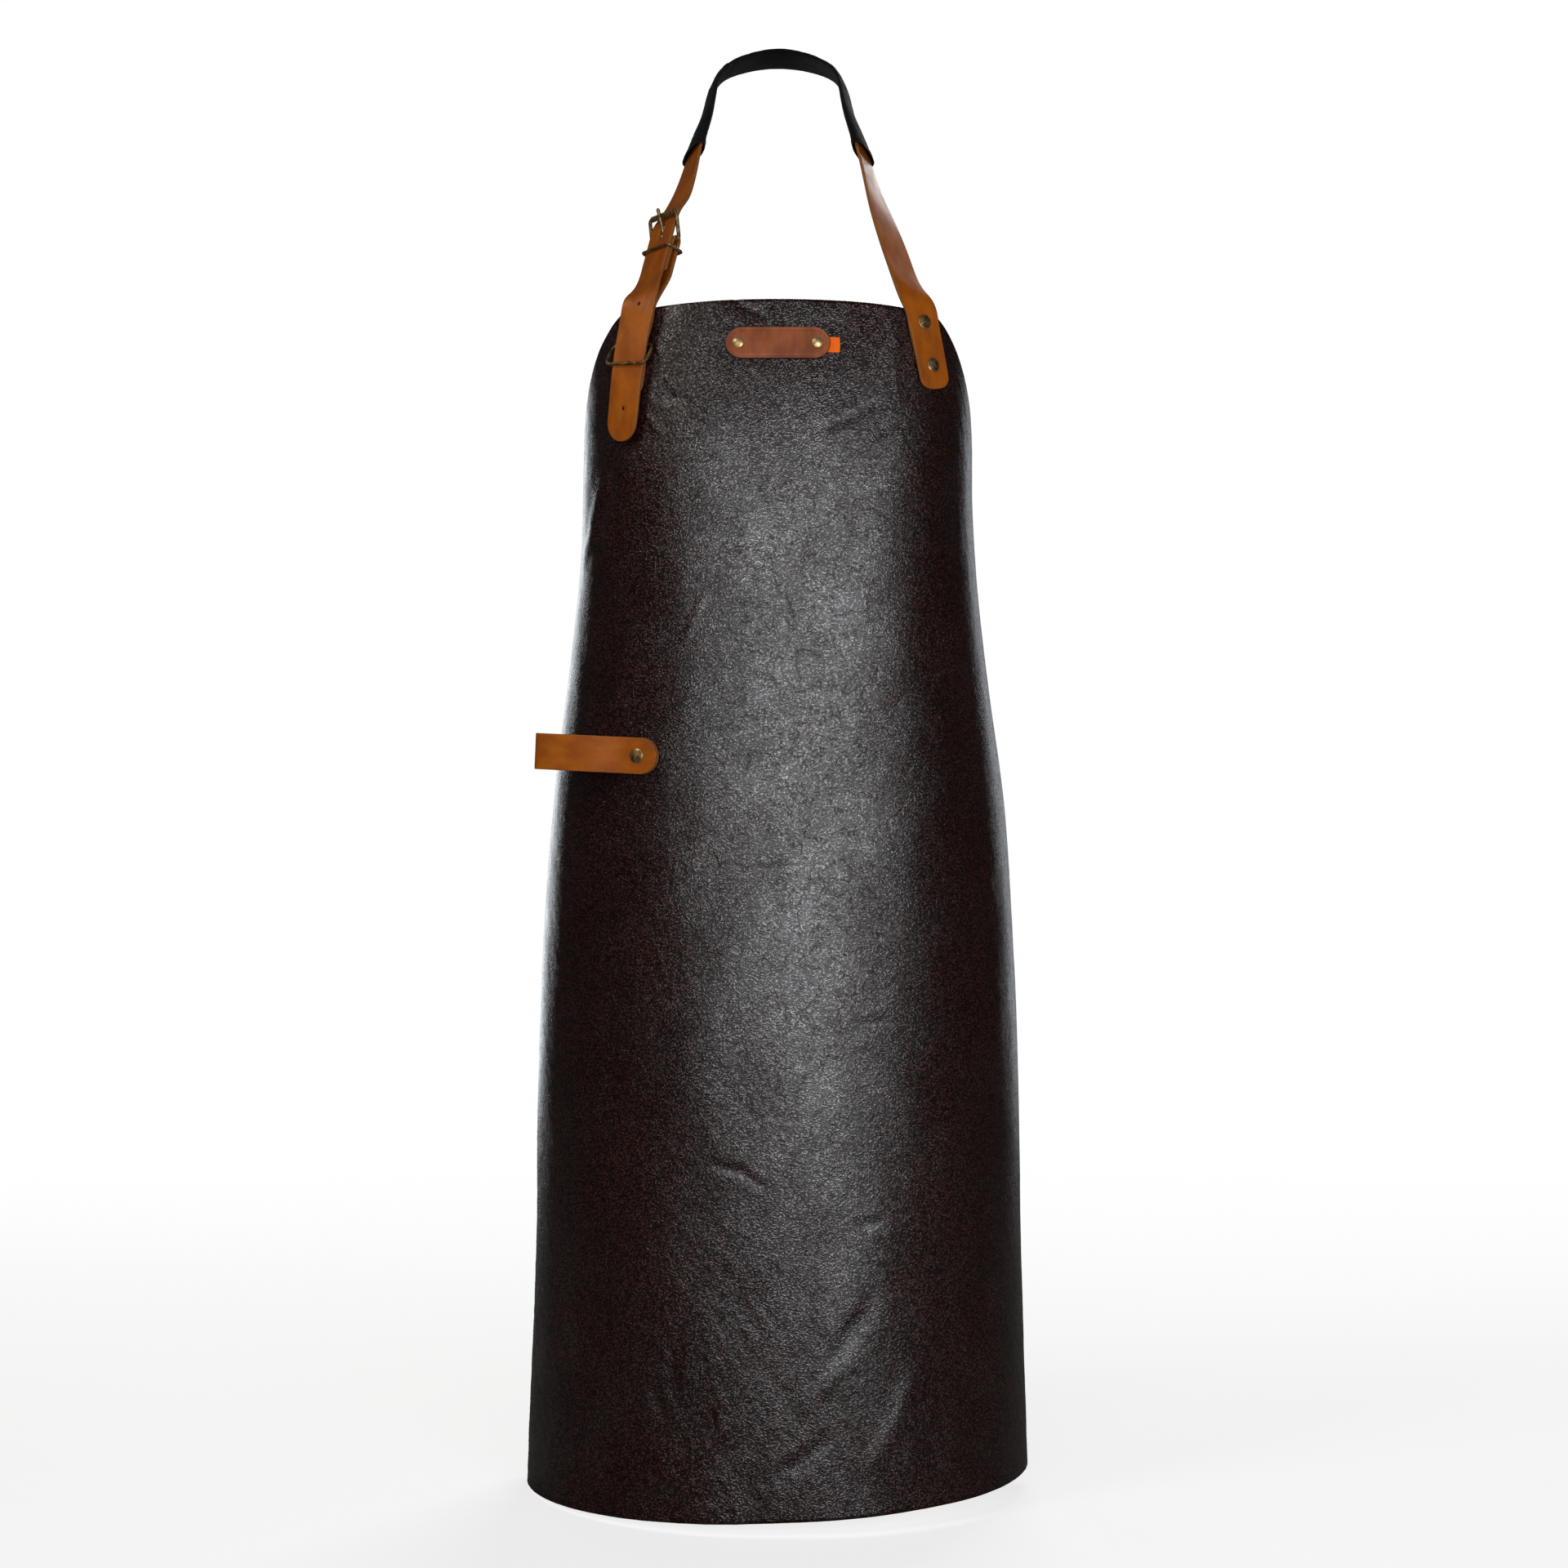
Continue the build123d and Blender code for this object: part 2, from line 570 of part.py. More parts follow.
def make_waist_strap():
    """From the wearer's right, round the back, through the buckle to the free end."""
    plane = waist_buckle_plane()
    face = np.array(tuple(plane.z_dir))
    stations = [belt_station(-s, STRAP_MIDDLE) for s in np.arange(WAIST_STRAP_END, WAIST_BACK_LEG, 16)]
    for along in np.arange(WAIST_STRAIGHT[0], WAIST_STRAIGHT[1] - 1, -10):
        stations.append((in_plane(plane, 0, along, 0), face))
    stations += [belt_station(s, out) for s, out in WAIST_TAIL]
    frames = ribbon_frames([p for p, n in stations], [n for p, n in stations], 130)
    strap = ribbon(frames, STRAP_WIDTH, STRAP_THICKNESS)
    strap = rounded_end(rounded_end(strap, frames, False, 11), frames, True, 15)
    for cut in rivet_holes(waist_rivet_places(-1), STRAP_RIVET):
        strap -= cut
    slot_plane = plane * Pos(0, PRONG_SLOT_RISE, 0) * Rot(0, 0, 90)
    return strap - extrude(slot_plane * SlotOverall(*PRONG_SLOT), amount=5, both=True)


def make_waist_buckle_strap():
    plane = waist_buckle_plane()
    stations = [belt_station(s, STRAP_MIDDLE) for s in np.arange(WAIST_STRAP_END, WAIST_BACK_LEG, 16)]
    stations += fold_stations(plane)
    frames, strap = folded_strap(stations, 110)
    strap = rounded_end(strap, frames, False, 11)
    for cut in rivet_holes(waist_rivet_places(1), STRAP_RIVET):
        strap -= cut
    return strap - prong_slot(plane)


def main():
    os.makedirs("parts", exist_ok=True)
    panel = make_panel()
    strap_places = RIGHT_RIVETS + LEFT_RIVETS + (TOWEL_RIVET,)
    strap_places += waist_rivet_places(-1) + waist_rivet_places(1)
    for cut in rivet_holes(strap_places, STRAP_RIVET) + rivet_holes(badge_rivet_places(), BADGE_RIVET):
        panel -= cut
    parts = {
        "apron_panel": panel,
        "neck_strap": make_neck_strap(),
        "neck_sleeve": make_neck_sleeve(),
        "buckle_strap": make_buckle_strap(),
        "neck_keeper": make_keeper(neck_buckle_plane()),
        "neck_tail_ring": make_tail_ring(),
        "badge": make_badge(),
        "side_tab": make_side_tab(),
        "towel_loop": make_towel_loop(),
        "waist_strap": make_waist_strap(),
        "waist_buckle_strap": make_waist_buckle_strap(),
        "waist_keeper": make_keeper(waist_buckle_plane()),
    }
    for place, plane in (("neck", neck_buckle_plane()), ("waist", waist_buckle_plane())):
        frame, roller, prong = make_buckle(plane)
        parts[f"{place}_buckle_frame"] = frame
        parts[f"{place}_buckle_roller"] = roller
        parts[f"{place}_buckle_prong"] = prong
    seats = {
        "neck_strap_rivet": (RIGHT_RIVETS, STRAP_RIVET, STRAP_FACE),
        "buckle_strap_rivet": (LEFT_RIVETS, STRAP_RIVET, STRAP_FACE + LEFT_RIVET_LIFT),
        "badge_rivet": (badge_rivet_places(), BADGE_RIVET, BADGE_SEAT + BADGE_THICKNESS + LAYER_GAP),
        "towel_loop_rivet": ((TOWEL_RIVET,), STRAP_RIVET, PANEL_THICKNESS + 2 * STRAP_THICKNESS + 0.5),
        "waist_strap_rivet": (waist_rivet_places(-1), STRAP_RIVET, STRAP_FACE),
        "waist_buckle_strap_rivet": (waist_rivet_places(1), STRAP_RIVET, STRAP_FACE),
    }
    for name, (places, sizes, seat) in seats.items():
        parts[f"{name}_caps"], parts[f"{name}_backs"] = rivets(places, sizes, seat)
    for name, shape in parts.items():
        export_step(shape, f"parts/{name}.step")


if __name__ == "__main__":
    main()
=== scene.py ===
import math

import bpy
import numpy as np
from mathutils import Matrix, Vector
from mathutils.geometry import delaunay_2d_cdt


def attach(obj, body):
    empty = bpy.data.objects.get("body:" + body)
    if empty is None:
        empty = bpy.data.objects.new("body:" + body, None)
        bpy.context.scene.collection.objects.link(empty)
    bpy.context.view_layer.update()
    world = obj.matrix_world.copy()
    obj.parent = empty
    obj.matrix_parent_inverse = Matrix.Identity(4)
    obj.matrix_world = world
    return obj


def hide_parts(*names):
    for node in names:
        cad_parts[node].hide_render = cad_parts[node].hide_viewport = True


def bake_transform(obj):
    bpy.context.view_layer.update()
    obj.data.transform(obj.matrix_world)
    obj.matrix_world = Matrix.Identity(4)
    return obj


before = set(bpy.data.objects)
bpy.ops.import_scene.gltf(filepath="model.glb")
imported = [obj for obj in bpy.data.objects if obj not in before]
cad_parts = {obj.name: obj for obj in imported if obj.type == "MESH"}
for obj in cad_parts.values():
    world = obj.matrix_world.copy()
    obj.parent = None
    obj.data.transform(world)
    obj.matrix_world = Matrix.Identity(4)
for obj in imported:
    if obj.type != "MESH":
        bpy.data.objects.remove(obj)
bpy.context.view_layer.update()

# Shapes are worked out in millimetres and made in metres. Lights and the floor are in metres.
MM = 0.001

# ---- the wearer's torso, as in the CAD: heights and sizes ----
HALF_WIDTHS = ((0, 216), (240, 209), (470, 202), (590, 193), (710, 177), (810, 166.5), (910, 164.5),
               (1020, 160))
FRONT_LINE = ((0, -170), (400, -167), (700, -162), (890, -160), (1020, -141))
HALF_DEPTHS = ((0, 170), (470, 160), (710, 141), (890, 126), (1020, 118))
SQUARENESS = ((0, 2.0), (610, 2.15), (1020, 2.8))
SECTION_STEPS = 161

# ---- panel outline, laid flat: distance from the centre line, height ----
PANEL_THICKNESS = 1.6
HEM_HEIGHT = 8.0
HEM_SKEW = 8.0
HEM_FADE_HEIGHT = 400.0
HEM_CORNER_START = 285.0
HEM_CORNER_WIDTH = 60.0
HEM_CORNER_LIFT = 45.0
SIDE_HALF_WIDTH = 345.0
WAIST_CORNER_SOFTNESS = 4.0
ARMHOLE = ((135.0, 993.0), (195.0, 953.0), (342.0, 690.0))
BIB_CROWN = 8.0
CROWN_START_HEIGHT = 700.0

# ---- straps ----
# On the panel: distance from the centre line, height, and for the left strap how far it is lifted
STRAP_WIDTH = 30.0
STRAP_THICKNESS = 2.6
STRAP_GAP = 0.4
STRAP_MIDDLE = PANEL_THICKNESS + STRAP_GAP + STRAP_THICKNESS / 2
RIGHT_STRAP_FEET = ((134.5, 930.0), (130.0, 949.5), (125.7, 967.0), (121.5, 985.0), (119.4, 994.2))
RIGHT_RIVETS = ((130.0, 949.5), (121.5, 985.0))
LEFT_STRAP_FEET = ((-127.5, 924.0, 0.0), (-124.0, 944.0, 0.0), (-122.2, 955.0, 1.5), (-120.3, 966.0, 3.2),
                   (-118.4, 977.0, 1.5), (-116.5, 988.0, 0.0), (-115.3, 996.0, 0.1))
LEFT_RIVETS = ((-124.0, 944.0), (-116.5, 988.0))
RIVET_HOLE = 1.95
# In the air: a point, then the way the outer face looks
NECK_LINE = (
    ((111.5, -123.4, 1008.5), (0.57, -0.80, 0.10)),
    ((100.0, -105.5, 1041), (0.64, -0.69, 0.30)),
    ((89.2, -87.5, 1077), (0.69, -0.55, 0.46)),
    ((78.9, -69.0, 1114), (0.85, -0.35, 0.40)),
    ((69.8, -49.0, 1152), (0.89, -0.26, 0.38)),
    ((61.0, -26.0, 1185), (0.92, -0.20, 0.34)),
    ((56.5, -4.0, 1211), (0.91, -0.11, 0.41)),
    ((44.0, 24.0, 1234), (0.66, 0.0, 0.75)),
    ((24.0, 43.0, 1247), (0.28, 0.18, 0.94)),
    ((0.0, 50.0, 1252), (0.0, 0.2, 0.98)),
)
ABOVE_BUCKLE = (
    ((-69.8, -50.0, 1150), (-0.89, -0.28, 0.37)),
    ((-78.6, -70.0, 1112), (-0.79, -0.42, 0.44)),
    ((-86.6, -86.0, 1089), (-0.69, -0.50, 0.51)),
)
MIRRORED_STATIONS = 4
# Tails over the panel: distance from the centre line, height, distance off the torso
TAIL_LINE = ((-111.8, 998.0, 9.6), (-114.6, 985.0, 9.5), (-118.9, 963.0, 9.4), (-124.4, 928.0, 8.6),
             (-128.4, 903.0, 7.4), (-132.0, 886.0, 6.4))
TAIL_HOLES = (68.0, 118.0, 155.0)
HOLE_RADIUS = 1.5
SLEEVE_FROM = 1141.0
SLEEVE_HALF_WIDTH = 18.0
SLEEVE_HALF_HEIGHT = 2.9
SLEEVE_LOOSENESS = 1.7
SLEEVE_WALL = 0.7
SLEEVE_BENDS = (0.29, 0.71)

# ---- buckles: a plane lies on the strap's middle above the heel bar; x across, y up the strap, z out ----
NECK_BUCKLE_FOOT = (-112.0, -126.0, 996.5)
NECK_BUCKLE_UP = (20.0, 27.0, 85.0)
NECK_BUCKLE_ACROSS = (1.0, -1.15)
NECK_BUCKLE_RISE = 65.0
NECK_STRAIGHT_ABOVE = 15.0
STRAIGHT = 30.0
HEEL_DEPTH = 6.0
FOLD_RADIUS = 3.0
FOLD_LEG = 30.0
SLOT_LENGTH = 15.0
SLOT_WIDTH = 4.0
PRONG_SLOT_UP = 8.4

# ---- waist belt ----
WAIST_HEIGHT = 690.0
WAIST_STRAP_END = 296.0
WAIST_RIVETS = (306.0, 326.0)
WAIST_BUCKLE = 505.0
WAIST_BUCKLE_OUT = 11.8
# Distance from the centre line, distance off the torso
WAIST_TAIL = ((452.0, 12.0), (436.0, 10.2), (420.0, 9.4), (404.0, 9.2), (388.0, 9.2))

# ---- badge, side tab, towel loop: the tab's ends are measured from the centre line ----
BADGE_LENGTH = 85.0
BADGE_HEIGHT = 26.5
BADGE_THICKNESS = 2.4
BADGE_CENTRE = 963.5
BADGE_RIVET_SPACING = 64.0
BADGE_MIDDLE = 2.7 + BADGE_THICKNESS / 2
BADGE_RIVET_HOLE = 1.45
BADGE_LINE_INSET = 2.4
BADGE_LINE_WIDTH = 0.45
BADGE_LINE_DEPTH = 0.35
TAB_START = 18.0
TAB_END = 50.5
TAB_HEIGHT = 12.6
TAB_THICKNESS = 0.9
TOWEL_RIVET = (-116.0, 628.0)
TOWEL_LOOP_LENGTH = 112.0
TOWEL_LOOP_END = 18.0
TOWEL_LOOP_FOLD = 6.5
TOWEL_LOOP_TILT = 2.7


# ---------- curves ----------
def through(knots, values, at):
    """Natural cubic spline through the values at the knots."""
    k = np.asarray(knots, float)
    v = np.asarray(values, float).reshape(len(k), -1)
    h = np.diff(k)
    system = np.eye(len(k))
    right = np.zeros_like(v)
    for i in range(1, len(k) - 1):
        system[i, i - 1:i + 2] = h[i - 1], 2 * (h[i - 1] + h[i]), h[i]
        right[i] = 6 * ((v[i + 1] - v[i]) / h[i] - (v[i] - v[i - 1]) / h[i - 1])
    bend = np.linalg.solve(system, right)
    x = np.atleast_1d(np.asarray(at, float))
    i = np.clip(np.searchsorted(k, x) - 1, 0, len(k) - 2)
    before = (x - k[i])[:, None]
    after = (k[i + 1] - x)[:, None]
    step = h[i][:, None]
    cubic = (bend[i] * after**3 + bend[i + 1] * before**3) / (6 * step)
    falling = (v[i] / step - bend[i] * step / 6) * after
    rising = (v[i + 1] / step - bend[i + 1] * step / 6) * before
    return cubic + falling + rising


def unit(vector):
    vector = np.asarray(vector, float)
    return vector / np.linalg.norm(vector, axis=-1, keepdims=True)


def smooth(low, high, x):
    t = np.clip((np.asarray(x, float) - low) / (high - low), 0, 1)
    return t * t * (3 - 2 * t)


def at_heights(stops, z):
    return through([a for a, b in stops], [b for a, b in stops], z)[:, 0]


def on_torso(s, z):
    """Points at heights z, a distance s round the torso's section from the front centre line.
    A section is a superellipse."""
    s, z = (np.atleast_1d(np.asarray(v, float)) for v in np.broadcast_arrays(s, z))
    half_width, front, half_depth, squareness = (
        at_heights(stops, z)[:, None] for stops in (HALF_WIDTHS, FRONT_LINE, HALF_DEPTHS, SQUARENESS)
    )
    quarter = math.pi / 4 * (1 - np.cos(np.linspace(0, math.pi, SECTION_STEPS)))
    turn = np.concatenate([quarter, math.pi - quarter[-2::-1]])[None, :]
    power = 2 / squareness
    x = half_width * np.abs(np.sin(turn)) ** power
    y = front + half_depth * (1 - np.sign(np.cos(turn)) * np.abs(np.cos(turn)) ** power)
    travelled = np.cumsum(np.hypot(np.diff(x), np.diff(y)), axis=1)
    along = np.concatenate([np.zeros((len(s), 1)), travelled], axis=1)
    reach = np.abs(s)
    side = np.where(s >= 0, 1.0, -1.0)
    past = reach > along[:, -1]
    reach = np.where(past, 2 * along[:, -1] - reach, reach)
    side = np.where(past, -side, side)
    points = [(np.interp(r, a, u), np.interp(r, a, v)) for r, a, u, v in zip(reach, along, x, y)]
    points = np.array(points)
    return np.stack([side * points[:, 0], points[:, 1], z], axis=1)


def torso_normal(s, z):
    step = 2.0
    s, z = (np.atleast_1d(np.asarray(v, float)) for v in np.broadcast_arrays(s, z))
    across = on_torso(s + step, z) - on_torso(s - step, z)
    up = on_torso(s, z + step) - on_torso(s, z - step)
    return unit(np.cross(across, up))


def skin(s, z, out=0.0):
    return on_torso(s, z) + np.reshape(out, (-1, 1)) * torso_normal(s, z)


# ---------- smooth noise, the same on every run ----------
def lattice(ix, iy, seed):
    h = (ix.astype(np.int64) * 374761393 + iy.astype(np.int64) * 668265263 + seed * 974634777) & 0x7FFFFFFF
    h = ((h ^ (h >> 13)) * 1274126177) & 0x7FFFFFFF
    return ((h ^ (h >> 16)) & 0xFFFF) / 32767.5 - 1.0


def value_noise(x, y, seed):
    """Smooth noise between -1 and 1 with features about one unit across."""
    x, y = np.asarray(x, float), np.asarray(y, float)
    ix, iy = np.floor(x), np.floor(y)
    fx, fy = x - ix, y - iy
    u, v = (f**3 * (f * (f * 6 - 15) + 10) for f in (fx, fy))
    a, b = lattice(ix, iy, seed), lattice(ix + 1, iy, seed)
    c, d = lattice(ix, iy + 1, seed), lattice(ix + 1, iy + 1, seed)
    return (a * (1 - u) + b * u) * (1 - v) + (c * (1 - u) + d * u) * v


def layered_noise(x, y, seed, layers=3):
    total = np.zeros(np.broadcast(x, y).shape)
    for i in range(layers):
        total += value_noise(np.asarray(x) * 2**i + 7.3 * i, np.asarray(y) * 2**i - 3.1 * i, seed + i) / 2**i
    return total / 2


# ---------- meshes ----------
def make_object(name, vertices, faces, body, material, smooth_shade=True):
    """A mesh object from points in millimetres, riding on a body."""
    mesh = bpy.data.meshes.new(name)
    mesh.from_pydata([tuple(p) for p in np.asarray(vertices) * MM], [], faces)
    mesh.validate()
    mesh.update()
    obj = bpy.data.objects.new(name, mesh)
    bpy.context.scene.collection.objects.link(obj)
    if smooth_shade:
        mesh.shade_smooth()
    mesh.materials.append(material)
    if body:
        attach(obj, body)
    return obj


def add_value(obj, name, values):
    """Stores one number for each vertex, which the object's material reads."""
    attribute = obj.data.attributes.new(name, "FLOAT", "POINT")
    attribute.data.foreach_set("value", np.asarray(values, np.float32))


def add_vector(obj, name, values):
    attribute = obj.data.attributes.new(name, "FLOAT_VECTOR", "POINT")
    attribute.data.foreach_set("vector", np.asarray(values, np.float32).ravel())


def grid_faces(rows, columns, start=0, wrap=False, flip=False):
    faces = []
    last = columns if wrap else columns - 1
    for i in range(rows - 1):
        for j in range(last):
            k = (j + 1) % columns
            a, b = start + i * columns + j, start + i * columns + k
            c, d = a + columns, b + columns
            faces.append((a, c, d, b) if flip else (a, b, d, c))
    return faces


# ---------- materials ----------
class Shader:
    """A procedural material: each call to add makes a node and links or sets its inputs."""

    def __init__(self, name):
        self.material = bpy.data.materials.new(name)
        self.material.use_nodes = True
        self.nodes = self.material.node_tree.nodes
        self.links = self.material.node_tree.links
        self.surface = self.nodes["Principled BSDF"]

    def put(self, socket, value):
        if isinstance(value, bpy.types.NodeSocket):
            self.links.new(value, socket)
        elif value is not None:
            if hasattr(socket.default_value, "__len__") and not hasattr(value, "__len__"):
                value = [value] * len(socket.default_value)
            socket.default_value = value

    def add(self, kind, output=0, inputs=None, **settings):
        node = self.nodes.new("ShaderNode" + kind)
        for key, value in settings.items():
            setattr(node, key, value)
        for key, value in (inputs or {}).items():
            self.put(node.inputs[key], value)
        return node.outputs[output]

    def read(self, name, output="Fac"):
        return self.add("Attribute", output, attribute_name=name)

    def math(self, operation, a, b=None, clamp=False):
        return self.add("Math", inputs={0: a, 1: b}, operation=operation, use_clamp=clamp)

    def scaled(self, vector, scale):
        return self.add("VectorMath", inputs={0: vector, 1: scale}, operation="MULTIPLY")

    def noise(self, vector, scale, detail=3.0, roughness=0.5, distortion=0.0):
        inputs = {"Vector": vector, "Scale": scale, "Detail": detail, "Roughness": roughness,
                  "Distortion": distortion}
        return self.add("TexNoise", "Fac", inputs)

    def cells(self, vector, scale, feature="F1", randomness=1.0):
        inputs = {"Vector": vector, "Scale": scale, "Randomness": randomness}
        return self.add("TexVoronoi", "Distance", inputs, feature=feature)

    def ramp(self, value, low, high, to_low=0.0, to_high=1.0):
        inputs = {"Value": value, "From Min": low, "From Max": high, "To Min": to_low, "To Max": to_high}
        return self.add("MapRange", inputs=inputs, interpolation_type="SMOOTHSTEP")

    def mix(self, share, a, b):
        return self.add("MixRGB", inputs={"Fac": share, "Color1": a, "Color2": b})

    def bump(self, height, distance, strength=1.0, under=None):
        inputs = {"Height": height, "Distance": distance, "Strength": strength, "Normal": under}
        return self.add("Bump", inputs=inputs)

    def finish(self, **inputs):
        for key, value in inputs.items():
            self.put(self.surface.inputs[key.replace("_", " ")], value)
        return self.material


def rgb(red, green, blue):
    """Linear colour from sRGB numbers of 0 to 255."""
    def linear(c):
        c /= 255
        return c / 12.92 if c <= 0.04045 else ((c + 0.055) / 1.055) ** 2.4
    return (linear(red), linear(green), linear(blue), 1.0)


def panel_leather():
    """Glossy pebbled leather: the pebbles' tops shine and the valleys between them less, and the valleys
    carry painted shade.
    """
    shader = Shader("panel_leather")
    flat = shader.read("flat", "Vector")
    drift = shader.add("TexNoise", "Color", {"Vector": flat, "Scale": 0.12, "Detail": 3.0})
    warped = shader.add("VectorMath", inputs={0: flat, 1: shader.scaled(drift, 5.0)})
    stretched = shader.scaled(warped, (0.9, 1.1, 1.0))
    valleys = shader.cells(stretched, 0.62, "SMOOTH_F1")
    tops = shader.ramp(valleys, 0.55, 0.1)
    pores = shader.noise(flat, 1.3, 2.0, 0.55)
    clumps = shader.noise(warped, 0.17, 4.0, 0.65)
    vein = shader.math("ABSOLUTE", shader.math("SUBTRACT", shader.noise(warped, 0.035, 6.0, 0.6), 0.5))
    smooth_skin = shader.ramp(vein, 0.0, 0.018)
    broad = shader.noise(flat, 0.012, 4.0, 0.6)
    worn = shader.noise(shader.scaled(flat, (1.0, 0.55, 1.0)), 0.04, 5.0, 0.65)
    height = shader.math("ADD", shader.math("MULTIPLY", tops, 0.5), shader.math("MULTIPLY", pores, 0.8))
    height = shader.math("ADD", height, shader.math("MULTIPLY", clumps, 1.1))
    height = shader.math("ADD", height, shader.math("MULTIPLY", smooth_skin, 0.35))
    colour = shader.mix(shader.ramp(broad, 0.35, 0.65), rgb(46, 15, 9), rgb(60, 24, 15))
    # The valleys between the pebbles are painted nearly black: painted shade in the grain's hollows.
    colour = shader.mix(shader.ramp(tops, 0.0, 0.8), rgb(18, 7, 5), colour)
    shine = shader.ramp(tops, 0.0, 0.9, 0.4, 1.05)
    shine = shader.math("MULTIPLY", shine, shader.ramp(pores, 0.36, 0.62, 0.5, 1.25))
    shine = shader.math("MULTIPLY", shine, shader.ramp(clumps, 0.34, 0.62, 0.85, 1.15))
    shine = shader.math("MULTIPLY", shine, shader.ramp(smooth_skin, 0.0, 1.0, 0.65, 1.0))
    glints = shader.ramp(shader.noise(flat, 1.9, 1.0, 0.5), 0.56, 0.68, 0.0, 1.5)
    shine = shader.math("ADD", shine, shader.math("MULTIPLY", glints, tops))
    clouds = shader.noise(shader.scaled(warped, (1.0, 0.7, 1.0)), 0.022, 2.0, 0.5)
    shine = shader.math("MULTIPLY", shine, shader.ramp(clouds, 0.36, 0.64, 0.85, 1.2))
    rough = shader.ramp(worn, 0.3, 0.7, 0.23, 0.29)
    return shader.finish(
        Base_Color=colour, Roughness=rough, IOR=1.6, Specular_IOR_Level=shine,
        Normal=shader.bump(height, 0.00024, 1.0))


def flesh_leather():
    """The unfinished inner side of the panel."""
    shader = Shader("panel_flesh_side")
    flat = shader.read("flat", "Vector")
    nap = shader.noise(flat, 1.1, 5.0, 0.7)
    cloud = shader.noise(flat, 0.03, 3.0, 0.6)
    colour = shader.mix(shader.ramp(cloud, 0.3, 0.7), rgb(64, 44, 34), rgb(88, 62, 47))
    colour = shader.mix(shader.ramp(nap, 0.35, 0.7, 0.0, 0.35), colour, rgb(40, 28, 22))
    return shader.finish(Base_Color=colour, Roughness=0.95, Specular_IOR_Level=0.2,
                         Normal=shader.bump(nap, 0.0006, 0.8))


def strap_leather(name, light, dark, edge_colour):
    """Smooth dyed leather with rubbed edges. The edge value runs from 0 on the face to 1 on the cut edge."""
    shader = Shader(name)
    flat = shader.read("flat", "Vector")
    edge = shader.read("edge")
    flesh = shader.read("flesh")
    cloud = shader.noise(shader.scaled(flat, (1.0, 0.5, 1.0)), 0.06, 4.0, 0.6)
    grain = shader.cells(flat, 1.3, "SMOOTH_F1")
    pores = shader.noise(flat, 2.6, 3.0, 0.65)
    fibres = shader.noise(shader.scaled(flat, (0.6, 0.6, 5.0)), 1.0, 4.0, 0.7)
    colour = shader.mix(shader.ramp(cloud, 0.32, 0.68), light, dark)
    colour = shader.mix(shader.ramp(pores, 0.5, 0.75, 0.0, 0.22), colour, dark)
    colour = shader.mix(shader.ramp(flesh, 0.4, 0.6, 0.0, 0.75), colour, rgb(150, 96, 54))
    worn = shader.mix(shader.ramp(fibres, 0.35, 0.7), edge_colour, rgb(70, 36, 14))
    colour = shader.mix(shader.ramp(edge, 0.15, 0.95), colour, worn)
    height = shader.math("SUBTRACT", shader.math("MULTIPLY", pores, 0.5), shader.math("MULTIPLY", grain, 0.5))
    rough = shader.math("ADD", shader.ramp(cloud, 0.3, 0.7, 0.38, 0.5), shader.math("MULTIPLY", flesh, 0.35))
    return shader.finish(Base_Color=colour, Roughness=rough, Specular_IOR_Level=0.3,
                         Normal=shader.bump(height, 0.00025, 0.7))


def antique_metal(name, dark, bright, roughness):
    """Cast metal with dark patina in the hollows and bright metal where it rubs."""
    shader = Shader(name)
    place = shader.add("TexCoord", "Object")
    blotches = shader.noise(place, 260.0, 5.0, 0.65)
    specks = shader.noise(place, 1300.0, 3.0, 0.6)
    rubbed = shader.add("NewGeometry", "Pointiness")
    share = shader.ramp(blotches, 0.36, 0.66)
    share = shader.math("ADD", share, shader.ramp(rubbed, 0.5, 0.58, -0.15, 0.45), True)
    colour = shader.mix(share, dark, bright)
    rough = shader.math("SUBTRACT", roughness + 0.14, shader.math("MULTIPLY", share, 0.16))
    return shader.finish(Base_Color=colour, Metallic=0.92, Roughness=rough,
                         Normal=shader.bump(specks, 0.00012, 0.45))


def sleeve_cloth():
    shader = Shader("sleeve_cloth")
    flat = shader.read("flat", "Vector")
    nap = shader.noise(flat, 1.8, 5.0, 0.75)
    cloud = shader.noise(flat, 0.06, 3.0, 0.6)
    colour = shader.mix(shader.ramp(cloud, 0.3, 0.7), rgb(9, 8, 8), rgb(15, 14, 14))
    colour = shader.mix(shader.ramp(nap, 0.45, 0.75, 0.0, 0.4), colour, rgb(24, 23, 23))
    return shader.finish(Base_Color=colour, Roughness=0.92, Specular_IOR_Level=0.15, Sheen_Weight=0.03,
                         Sheen_Roughness=0.4, Normal=shader.bump(nap, 0.0004, 0.8))


def ribbon_cloth():
    """Woven orange ribbon: threads both ways, with a faint painted glow."""
    shader = Shader("tab_ribbon")
    flat = shader.read("flat", "Vector")
    across, along = (
        shader.add("TexWave", "Fac", {"Vector": flat, "Scale": scale, "Distortion": 0.4}, bands_direction=way)
        for way, scale in (("X", 0.9), ("Y", 0.7))
    )
    threads = shader.math("MULTIPLY", across, along)
    colour = shader.mix(shader.ramp(threads, 0.05, 0.8), rgb(222, 84, 6), rgb(255, 130, 24))
    # The ribbon glows faintly in its own colour: painted light, as it is no lamp.
    return shader.finish(Base_Color=colour, Roughness=0.8, Emission_Color=colour, Emission_Strength=0.3,
                         Normal=shader.bump(threads, 0.0003, 0.7))


LEATHER = panel_leather()
FLESH = flesh_leather()
TAN = strap_leather("strap_leather", rgb(174, 92, 14), rgb(144, 70, 8), rgb(166, 100, 46))
CHESTNUT = strap_leather("badge_leather", rgb(156, 84, 46), rgb(122, 60, 30), rgb(62, 30, 18))
BRONZE = antique_metal("antique_brass", rgb(88, 68, 40), rgb(184, 152, 104), 0.42)
BRASS = antique_metal("badge_brass", rgb(172, 140, 84), rgb(238, 212, 158), 0.38)
CLOTH = sleeve_cloth()
ORANGE = ribbon_cloth()


